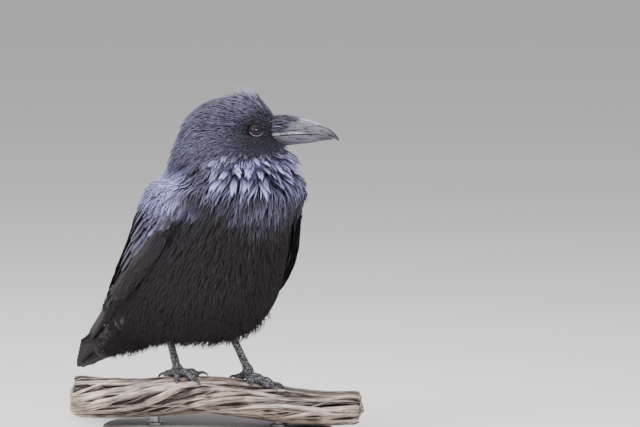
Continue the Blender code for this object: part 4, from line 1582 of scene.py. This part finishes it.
class RAVEN_OT_wings(bpy.types.Operator):
    """Folded wings: coverts in rows, then the secondaries, tertials and primaries"""
    bl_idname = "raven.wings"
    bl_label = "Wings"

    def execute(self, context):
        seed = context.scene.raven_plumage.seed
        for side_name in SIDES:
            draw = np.random.default_rng(seed + 80)
            wing = Wing(side_name)
            # From the tips up, so that each row lies over the one below it:
            # share, count, length, half width, lifts at root and tip, last turn, sheen.
            rows = [(0.34, 15, 54, 4.3, -0.9, 0.3, 62, 0.13), (0.26, 17, 40, 3.7, -0.9, 0.5, 66, 0.23)]
            lesser = [(0.20 - 0.034 * k, 22, 20, 3.0, -1.2, 0.7, min(68 + 8 * k, 104), 0.34 + 0.1 * k)
                      for k in range(7)]
            for name, finish, part in (("wing_coverts_", "covert", rows),
                                       ("wing_shoulder_", "soft_feather", lesser)):
                coat = Coat()
                for share, count, length, half, low, high, last, painted_sheen in part:
                    # Painted shade: less sheen is painted on the larger coverts of the wing away from the
                    # light.
                    painted_sheen = painted_sheen * (0.6 if wing.side > 0 and part is rows else 1.0)
                    wing_row(coat, wing, draw, share, count, length, half, (low, high), (-115, last), painted_sheen)
                coat.worn(name + side_name, finish, "flight")
            coat = Coat()
            flight_feathers(coat, wing, side_name, draw)
            coat.worn("flight_feathers_" + side_name, "flight", "flight", "primaries_" + side_name)
        return {"FINISHED"}


def flight_feathers(coat, wing, side_name, draw):
    """Primaries beneath, then a row down the front edge, secondaries, tertials, and a short row in front."""
    hand = points_of("primaries_" + side_name)
    middle, run = long_axis(hand, -UP_WAY)
    along = (hand - middle) @ run
    start = hand[along < along.min() + 8 * MM].mean(axis=0)
    end = hand[along > along.max() - 4 * MM].mean(axis=0)
    facing = unit(np.array((-0.05, 0.93 * wing.side, 0.35)))
    primaries = 9
    # Share, count, length, half width, lifts, turns, sheen, kind, how far they close, height of the stack.
    rows = (
        (0.44, 10, 92, 6.4, (-1.8, -0.2), (-62, 62), 0.11, "flight", 0.15, 0.1),
        (0.36, 5, 100, 8.0, (-1.0, 1.0), (-85, -20), 0.13, "flight", 0.1, 0.3),
        (0.22, 9, 52, 2.8, (0.4, 2.6), (58, 106), 0.2, "flight", 0.1, 0.2),
    )
    # The wing on the bird's left stands off its flank, so its front edge shows beyond the breast.
    if wing.side > 0:
        front = (0.13, 14, 86, 4.4, (4.5, 7.5), (5, 95), 0.09, "flight", 0.1, 0.1)
    else:
        front = (0.2, 14, 116, 3.1, (-1.8, 2.2), (46, 106), 0.1, "flight", 0.1, 0.1)
    rows = (front, *rows)
    total = primaries + sum(row[1] for row in rows)
    # The primaries run from the wing's lower end into the bundle, the innermost ones shortest.
    for k in range(primaries):
        share = k / (primaries - 1)
        root, _ = wing.at(0.5 + 0.12 * share, 90 - 45 * share, -2.5 * MM)
        tip = start + (end - start) * (1.04 - 0.62 * share) + facing * (7 * share - 3) * MM
        tip = tip + UP_WAY * (1 - 9 * share) * MM
        long_feather(coat, root, tip, facing, 1.0, 9.6, k, total, 0.06, draw.uniform(0.2, 0.7))
    # The other rows take the strips of the unwrap that follow.
    number = primaries
    for row in rows:
        wing_row(coat, wing, draw, *row, strip=(number, total))
        number += row[1]


# ---- tail
class RAVEN_OT_tail(bpy.types.Operator):
    """Twelve folded tail feathers, the middle pair on top, and the coverts over and under their roots"""
    bl_idname = "raven.tail"
    bl_label = "Tail"

    def execute(self, context):
        draw = np.random.default_rng(context.scene.raven_plumage.seed + 90)
        cloud = points_of("tail")
        near = cloud[cloud[:, 0] > cloud[:, 0].max() - 12 * MM]
        far = cloud[cloud[:, 0] < cloud[:, 0].min() + 6 * MM]
        root, tip = near.mean(axis=0), far.mean(axis=0)
        root[1] = tip[1] = 0
        length = np.linalg.norm(tip - root)
        along = unit(tip - root)
        over = unit(np.cross(along, np.array((0, 1, 0))))
        over = over if over[2] > 0 else -over
        half_width = np.ptp(cloud[:, 1]) / 2
        coat = Coat()
        covert_rows, coverts = ((-1, 0.36, 0.72), (1, 0.3, 0.84), (1, -0.02, 0.5)), 9
        total = 12 + len(covert_rows) * coverts
        number = 0
        pairs = 6
        for k in range(pairs):
            for side in (1, -1):
                share = (pairs - 1 - k) / (pairs - 1)
                offset = side * (0.08 + 0.62 * share) * half_width
                # The tail is a little rolled: the side on the bird's right is raised.
                rise = 0.4 if side < 0 else 0.05
                down = over * (0.5 * k - 3 - 0.25 * (side > 0) + rise * abs(offset) / MM) * MM
                start = root + np.array((0, offset * 0.4, 0)) + down * 0.6 - along * 8 * MM
                end = tip + along * (4 - 48 * share) * MM + np.array((0, offset, 0)) + down
                facing = unit(over - np.array((0, side * rise, 0)))
                own = draw.uniform(0.25, 0.75)
                long_feather(coat, start, end, facing, 1.5, 12, number, total, 0.1, own, 13)
                number += 1
        # Coverts: one row beneath, then two above, whose sides turn down round the tail.
        for height, first, reach in covert_rows:
            for k in range(coverts):
                place = (k - 4) / 4
                shorter = 0.1 * place**2 + draw.uniform(0, 0.05)
                arch = over * ((13 if height > 0 else -6) - (8 * height * place + 5 * height) * place) * MM
                start = root + along * length * first + arch * 0.6
                end = root + along * length * (reach - shorter) + arch
                start[1], end[1] = place * 20 * MM, place * (27 + 2 * height) * MM
                facing = unit(over * height + np.array((0, place * 1.1, 0)))
                long_feather(coat, start, end, facing, 1.5, 8, number, total, 0.12, draw.uniform(0.2, 0.8))
                number += 1
        coat.worn("tail_feathers", "flight", "flight", "tail")
        return {"FINISHED"}


# ---- claws
class RAVEN_OT_claws(bpy.types.Operator):
    """Rounded horn claws"""
    bl_idname = "raven.claws"
    bl_label = "Claws"

    def execute(self, context):
        for side_name in SIDES:
            nodes = [f"claw_{side_name}_{toe}" for toe in TOES]
            claws = refined(merged_copy("claws_" + side_name, *nodes), 2)
            ride(dressed(claws, "claw_horn"), "claw", *nodes)
        return {"FINISHED"}


# ---- driftwood
class Log:
    """The perch's own frame: reach along it, and an angle round it from its crest."""

    def __init__(self):
        self.form = Made.node("perch")
        points = self.form.points
        self.middle, self.along = long_axis(points, np.array((0, 1, 0)))
        self.across = unit(np.cross(self.along, UP_WAY))
        self.up = np.cross(self.across, self.along)
        reach = (points - self.middle) @ self.along
        self.start, self.end = reach.min(), reach.max()
        marks = np.linspace(self.start, self.end, 25)
        centres = []
        for mark in marks:
            near = points[np.abs(reach - mark) < 10 * MM]
            spread = (near - self.middle) @ np.array([self.across, self.up]).T
            centres.append((spread.min(axis=0) + spread.max(axis=0)) / 2)
        self.marks, self.centres = marks, np.array(centres)

    def centre(self, reach):
        across, up = (np.interp(reach, self.marks, self.centres[:, k]) for k in (0, 1))
        return self.middle + self.along * reach + self.across * across + self.up * up

    def surface(self, reach, angle):
        """The outermost point of the wood in this direction and the unit way out."""
        flatness, outside = 2.0, 90 * MM
        heading = self.across * (math.sin(angle) * flatness) + self.up * math.cos(angle)
        heading /= np.linalg.norm(heading)
        start = self.centre(reach)
        hit = self.form.tree.ray_cast(Vector(start + heading * outside), Vector(-heading))
        return (np.array(hit[0]) if hit[0] else start + heading * 10 * MM), heading


def wander(reach, angle):
    """A smooth wandering value that bends the wood's grain."""
    return (
        0.5 * np.sin(reach * 31 + 2 * np.sin(angle)) + 0.3 * np.sin(reach * 67 + 3 * angle)
        + 0.25 * np.sin(reach * 118 - 2 * angle)
    )


def log_mesh(log, groove):
    """The wood as a grid round its axis, with deep grooves between twisted strands."""
    rings, sides = 200, 150
    reaches = np.linspace(log.start + 0.6 * MM, log.end - 0.6 * MM, rings)
    angles = np.arange(sides) / sides * math.tau
    places, ways = np.empty((rings, sides, 3)), np.empty((rings, sides, 3))
    for i, reach in enumerate(reaches):
        for j, angle in enumerate(angles):
            places[i, j], ways[i, j] = log.surface(reach, angle)
    r, a = np.meshgrid(reaches, angles, indexing="ij")
    # Grooves of three widths, which all turn round the wood as they run along it.
    radians_per_metre = 9.0
    twist = a + r * radians_per_metre
    bend = wander(r, a)
    coarse = np.abs(np.sin(twist * 3.5 + 1.3 * bend)) ** 0.6
    medium = np.abs(np.sin(twist * 9 + 2.4 * bend + 0.8 * np.sin(r * 90))) ** 0.7
    thin = np.abs(np.sin(twist * 23 + 4.0 * bend + 1.5 * np.sin(r * 140 + a * 2)))
    relief = 0.55 * (1 - coarse) + 0.3 * (1 - medium) + 0.15 * (1 - thin)
    points = places - ways * ((0.35 + 0.65 * relief) * groove)[..., None]
    grain = np.stack([(twist + 0.15 * bend) * 0.03, r, np.zeros_like(r)], axis=-1)
    quads = grid_faces(rings, sides)
    flat, grains = [points.reshape(-1, 3)], [grain.reshape(-1, 3)]
    # The ridge value, low in the grooves, paints shade into them.
    ridges = [np.clip(0.5 - relief, 0, 1).ravel()]
    count = rings * sides
    triangles = []
    # Cut ends: rings that close in on the middle, a little rough.
    for end, out in ((0, -1), (rings - 1, 1)):
        centre = points[end].mean(axis=0)
        last = end * sides + np.arange(sides)
        for share in (0.75, 0.5, 0.25):
            ring = centre + (points[end] - centre) * share
            rough = 0.8 * MM * np.sin(angles * 11 + share * 9) + 0.5 * MM * np.sin(angles * 29) - 1.2 * MM
            flat.append(ring + log.along * (out * rough * (1 - share))[:, None])
            grains.append(np.stack([angles * 0.01, np.full(sides, share * 0.03), np.zeros(sides)], axis=-1))
            ridges.append(0.5 + 0.4 * np.sin(angles * 13 + share * 30))
            new = count + np.arange(sides)
            band = np.stack([last, np.roll(last, -1), np.roll(new, -1), new], axis=-1)
            quads = np.concatenate([quads, band])
            count += sides
            last = new
        flat.append(centre[None])
        grains.append(np.zeros((1, 3)))
        ridges.append(np.array([0.3]))
        triangles.append(np.stack([last, np.roll(last, -1), np.full(sides, count)], axis=-1))
        count += 1
    mesh = mesh_of("perch", np.concatenate(flat), quads, np.concatenate(triangles))
    set_values(mesh, "grain", np.concatenate(grains))
    set_values(mesh, "ridge", np.concatenate(ridges))
    outwards(mesh)
    return mesh


def sweep_tree():
    """Geometry nodes that sweep a round section along each curve by its own radius."""
    tree, given = node_tree("swept strands", (("Sides", "Int"), ("Finish", "Material")))
    size = {"Resolution": given["Sides"], "Radius": 1.0}
    section = group_node(tree, "GeometryNodeCurvePrimitiveCircle", None, size)
    place = group_node(tree, "GeometryNodeSplineParameter")
    noted = group_node(tree, "GeometryNodeStoreNamedAttribute", {"data_type": "FLOAT", "domain": "POINT"}, {
        "Geometry": given["Geometry"], "Name": "run", "Value": place.outputs["Length"],
    })
    radius = group_node(tree, "GeometryNodeInputRadius")
    inputs = {"Curve": noted.outputs[0], "Profile Curve": section.outputs[0], "Fill Caps": True}
    swept = group_node(tree, "GeometryNodeCurveToMesh", None, inputs)
    if "Scale" in swept.inputs:
        tree.links.new(radius.outputs[0], swept.inputs["Scale"])
    return ended_tree(tree, swept.outputs[0], given["Finish"])


def strand_curves(log, count, radius, seed):
    """Paths of roots that wind round the wood, thinning towards their ends."""
    draw = np.random.default_rng(seed + 60)
    curves = bpy.data.curves.new("strands", "CURVE")
    curves.dimensions = "3D"
    length, steps = log.end - log.start, 72
    for k in range(count):
        # One strand in three starts part of the way along the wood, and one in three ends there.
        start = draw.uniform(0.0, 0.45) if k % 3 == 1 else 0.0
        end = draw.uniform(0.55, 1.0) if k % 3 == 2 else 1.0
        angle = math.tau * (k + draw.uniform(-0.3, 0.3)) / count
        drift, swing = draw.uniform(-2.2, 2.2), draw.uniform(0.1, 0.4)
        thick = radius * draw.uniform(0.3, 1.0) ** 1.3
        spline = curves.splines.new("POLY")
        spline.points.add(steps - 1)
        for i in range(steps):
            t = i / (steps - 1)
            share = start + (end - start) * t
            reach = log.start + 1.5 * MM + (length - 3 * MM) * share
            turn = angle - 2.6 * share + drift * (share - 0.5) + swing * math.sin(8 * share + 1.3 * k)
            place, out = log.surface(reach, turn)
            taper = min(1.0, 6 * t + 0.2 if start > 0 else 1.0, 6 * (1 - t) + 0.2 if end < 1 else 1.0)
            width = thick * taper * (1 + 0.2 * math.sin(13 * share + 2 * k))
            # Strands lie flush under the feet, so that the toes stay on the wood, and stand out elsewhere.
            proud = (1 - max(math.cos(turn), 0.0)) * (0.5 + 0.35 * math.sin(5 * k))
            place = place - out * width * (0.95 - proud)
            spline.points[i].co = (*place, 1)
            spline.points[i].radius = width
    return new_object("strands", curves)


class RAVEN_OT_perch(bpy.types.Operator):
    """Weathered driftwood with roots winding round it"""
    bl_idname = "raven.perch"
    bl_label = "Driftwood perch"

    def execute(self, context):
        perch = context.scene.raven_perch
        seed = context.scene.raven_plumage.seed
        log = Log()
        obj = dressed(new_object("driftwood", log_mesh(log, perch.groove)), "driftwood_grain")
        ride(obj, "driftwood", "perch")
        strands = strand_curves(log, perch.strands, perch.strand_radius, seed)
        sides = 14
        modifier = strands.modifiers.new("sweep", "NODES")
        modifier.node_group = sweep_tree()
        set_inputs(modifier, {"Sides": sides, "Finish": finish_of("driftwood_grain")})
        graph = context.evaluated_depsgraph_get()
        mesh = bpy.data.meshes.new_from_object(strands.evaluated_get(graph))
        bpy.data.objects.remove(strands)
        roots = new_object("driftwood_roots", mesh)
        points, normals = arrays_of(mesh)
        run = taken_values(mesh, "run")
        ring = (np.arange(len(points)) % sides) / sides
        own = mottle(points, 9 * MM)
        # The strands are fluted along their run, painted palest where they stand out of the wood and darker
        # where they sink into it: painted shade.
        fluted = np.sin(ring * math.tau * 3 + run * 50) * 0.4 + np.sin(ring * math.tau * 2 + run * 23) * 0.4
        set_points(mesh, points + normals * (fluted * 0.6 * MM)[:, None])
        outside = ((points - log.form.nearest(points)[0]) * normals).sum(axis=1) / MM
        ridge = np.clip(0.25 + 0.45 * fluted + 0.45 * np.minimum(outside, 1.2) + 0.3 * own, 0, 1)
        set_values(mesh, "grain", np.stack([ring * 0.026 + own * 0.002, run, np.zeros(len(points))], axis=1))
        set_values(mesh, "ridge", ridge)
        outwards(mesh)
        ride(roots, "driftwood")
        return {"FINISHED"}


# ---- stand
def turned_solid(name, node, profile, finish, segments=128):
    """A closed solid turned about the upright line through the node's middle, with flat flats."""
    low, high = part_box(node)
    turns = np.arange(segments) / segments * math.tau
    ring = np.stack([np.cos(turns), np.sin(turns)], axis=-1)
    points = np.concatenate([
        np.concatenate([ring * radius, np.full((segments, 1), height)], axis=1) for radius, height in profile
    ]) + np.array(((low.x + high.x) / 2, (low.y + high.y) / 2, 0))
    top = (len(profile) - 1) * segments
    caps = np.stack([np.arange(segments)[::-1], top + np.arange(segments)])
    mesh = mesh_of(name, points, grid_faces(len(profile), segments), caps)
    outwards(mesh)
    solid = dressed(new_object(name, mesh), finish)
    mesh.set_sharp_from_angle(angle=math.radians(35))
    return solid


class RAVEN_OT_stand(bpy.types.Operator):
    """Plain round base and two steel rods with collars"""
    bl_idname = "raven.stand"
    bl_label = "Stand"

    def execute(self, context):
        low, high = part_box("stand_base")
        radius, top, edge = (high.x - low.x) / 2, high.z, 2.5 * MM
        turns = [math.pi / 2 * k / 6 for k in range(7)]
        profile = [(radius - 1.2 * MM, 0.0), (radius - 0.3 * MM, 0.3 * MM), (radius, 1.2 * MM)]
        profile += [(radius - edge + edge * math.cos(t), top - edge + edge * math.sin(t)) for t in turns]
        profile += [(radius - inset * MM, top - depth * MM)
                    for inset, depth in ((9, 0), (9.4, 0.5), (10.2, 0.5), (10.6, 0))]
        ride(turned_solid("stand_disc", "stand_base", profile, "stand_paint"), "stand", "stand_base")
        for number in (1, 2):
            node = f"stand_rod_{number}"
            low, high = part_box(node)
            radius, collar = (high.x - low.x) / 2, low.z + 2.6 * MM
            profile = [(radius + 4 * MM, low.z), (radius + 4 * MM, low.z + 2 * MM),
                       (radius + 3.4 * MM, collar), (radius, collar), (radius, high.z - 0.6 * MM),
                       (radius - 0.6 * MM, high.z)]
            ride(turned_solid(f"stand_post_{number}", node, profile, "steel_rod", 48), "rod", node)
        return {"FINISHED"}


# ---- stage
def placed(name, data, place, way):
    """Links a lamp or camera that stands here and looks this way."""
    obj = bpy.data.objects.new(name, data)
    obj.location = place
    obj.rotation_mode = "QUATERNION"
    obj.rotation_quaternion = way.to_track_quat("-Z", "Y")
    bpy.context.scene.collection.objects.link(obj)
    return obj


class RAVEN_OT_stage(bpy.types.Operator):
    """Pale floor, soft light and the camera"""
    bl_idname = "raven.stage"
    bl_label = "Floor, light and camera"

    def execute(self, context):
        stage = context.scene.raven_stage
        floor_size = 14
        bpy.ops.mesh.primitive_plane_add(size=floor_size, location=(0, 0, 0))
        floor = context.object
        floor.name = "floor"
        finish = Finish("floor")
        floor.data.materials.append(finish.surface(Base_Color=tuple(stage.floor), Roughness=0.9))
        world = bpy.data.worlds.new("studio")
        context.scene.world = world
        world.use_nodes = True
        back = world.node_tree.nodes["Background"]
        back.inputs["Color"].default_value = (0.79, 0.78, 0.83, 1)
        back.inputs["Strength"].default_value = 0.75
        # The middle of the view, over the crest of the perch: to the camera's right and up.
        turn, rise = stage.azimuth, stage.elevation
        towards = Vector((math.sin(turn) * math.cos(rise), -math.cos(turn) * math.cos(rise), math.sin(rise)))
        right = Vector((math.cos(turn), math.sin(turn), 0))
        over = towards.cross(right)
        aim = crest((0, 0, 0)) + right * (103 * MM) + over * (163 * MM)
        bird = crest((0, 0, 150))
        for name, place, size, power in (
            ("sky", bird - right * 0.35 + towards * 0.15 + UP * 1.5, 1.5, 55),
            ("key", bird - right * 1.1 + towards * 1.3 + UP * 1.25, 0.8, 25),
            ("fill", bird + right * 1.5 + towards * 1.4 + UP * 0.3, 1.4, 5),
            ("glint", bird + right * 0.48 + towards * 1.2 + UP * 0.6, 0.3, 12),
        ):
            lamp = bpy.data.lights.new(name, "AREA")
            lamp.shape = "DISK"
            lamp.size = size
            lamp.energy = power
            placed(name, lamp, place, bird - place)
        camera = bpy.data.cameras.new("camera")
        camera.lens = stage.lens
        camera.sensor_width = 36
        camera.clip_end = 100
        context.scene.camera = placed("camera", camera, aim + towards * stage.distance, -towards)
        return {"FINISHED"}


OPERATORS = (
    RAVEN_OT_skin, RAVEN_OT_eyes, RAVEN_OT_bill, RAVEN_OT_bristles, RAVEN_OT_head_coat, RAVEN_OT_ruff,
    RAVEN_OT_body_coat, RAVEN_OT_wings, RAVEN_OT_tail, RAVEN_OT_claws, RAVEN_OT_perch, RAVEN_OT_stand,
    RAVEN_OT_stage,
)


class RAVEN_PT_panel(bpy.types.Panel):
    """The raven's settings and the steps that make it"""
    bl_idname = "RAVEN_PT_panel"
    bl_label = "Raven"
    bl_space_type = "VIEW_3D"
    bl_region_type = "UI"
    bl_category = "Raven"

    def draw(self, context):
        for name, group in GROUPS.items():
            box = self.layout.box()
            for key in group.__annotations__:
                box.prop(getattr(context.scene, name), key)
        for operator in OPERATORS:
            self.layout.operator(operator.bl_idname)


def register():
    for cls in (*GROUPS.values(), *OPERATORS, RAVEN_PT_panel):
        bpy.utils.register_class(cls)
    for name, group in GROUPS.items():
        setattr(bpy.types.Scene, name, PointerProperty(type=group))


def unregister():
    for name in GROUPS:
        delattr(bpy.types.Scene, name)
    for cls in (RAVEN_PT_panel, *OPERATORS, *GROUPS.values()):
        bpy.utils.unregister_class(cls)


def main():
    register()
    for operator in OPERATORS:
        group, name = operator.bl_idname.split(".")
        getattr(getattr(bpy.ops, group), name)()


if __name__ == "__main__":
    main()
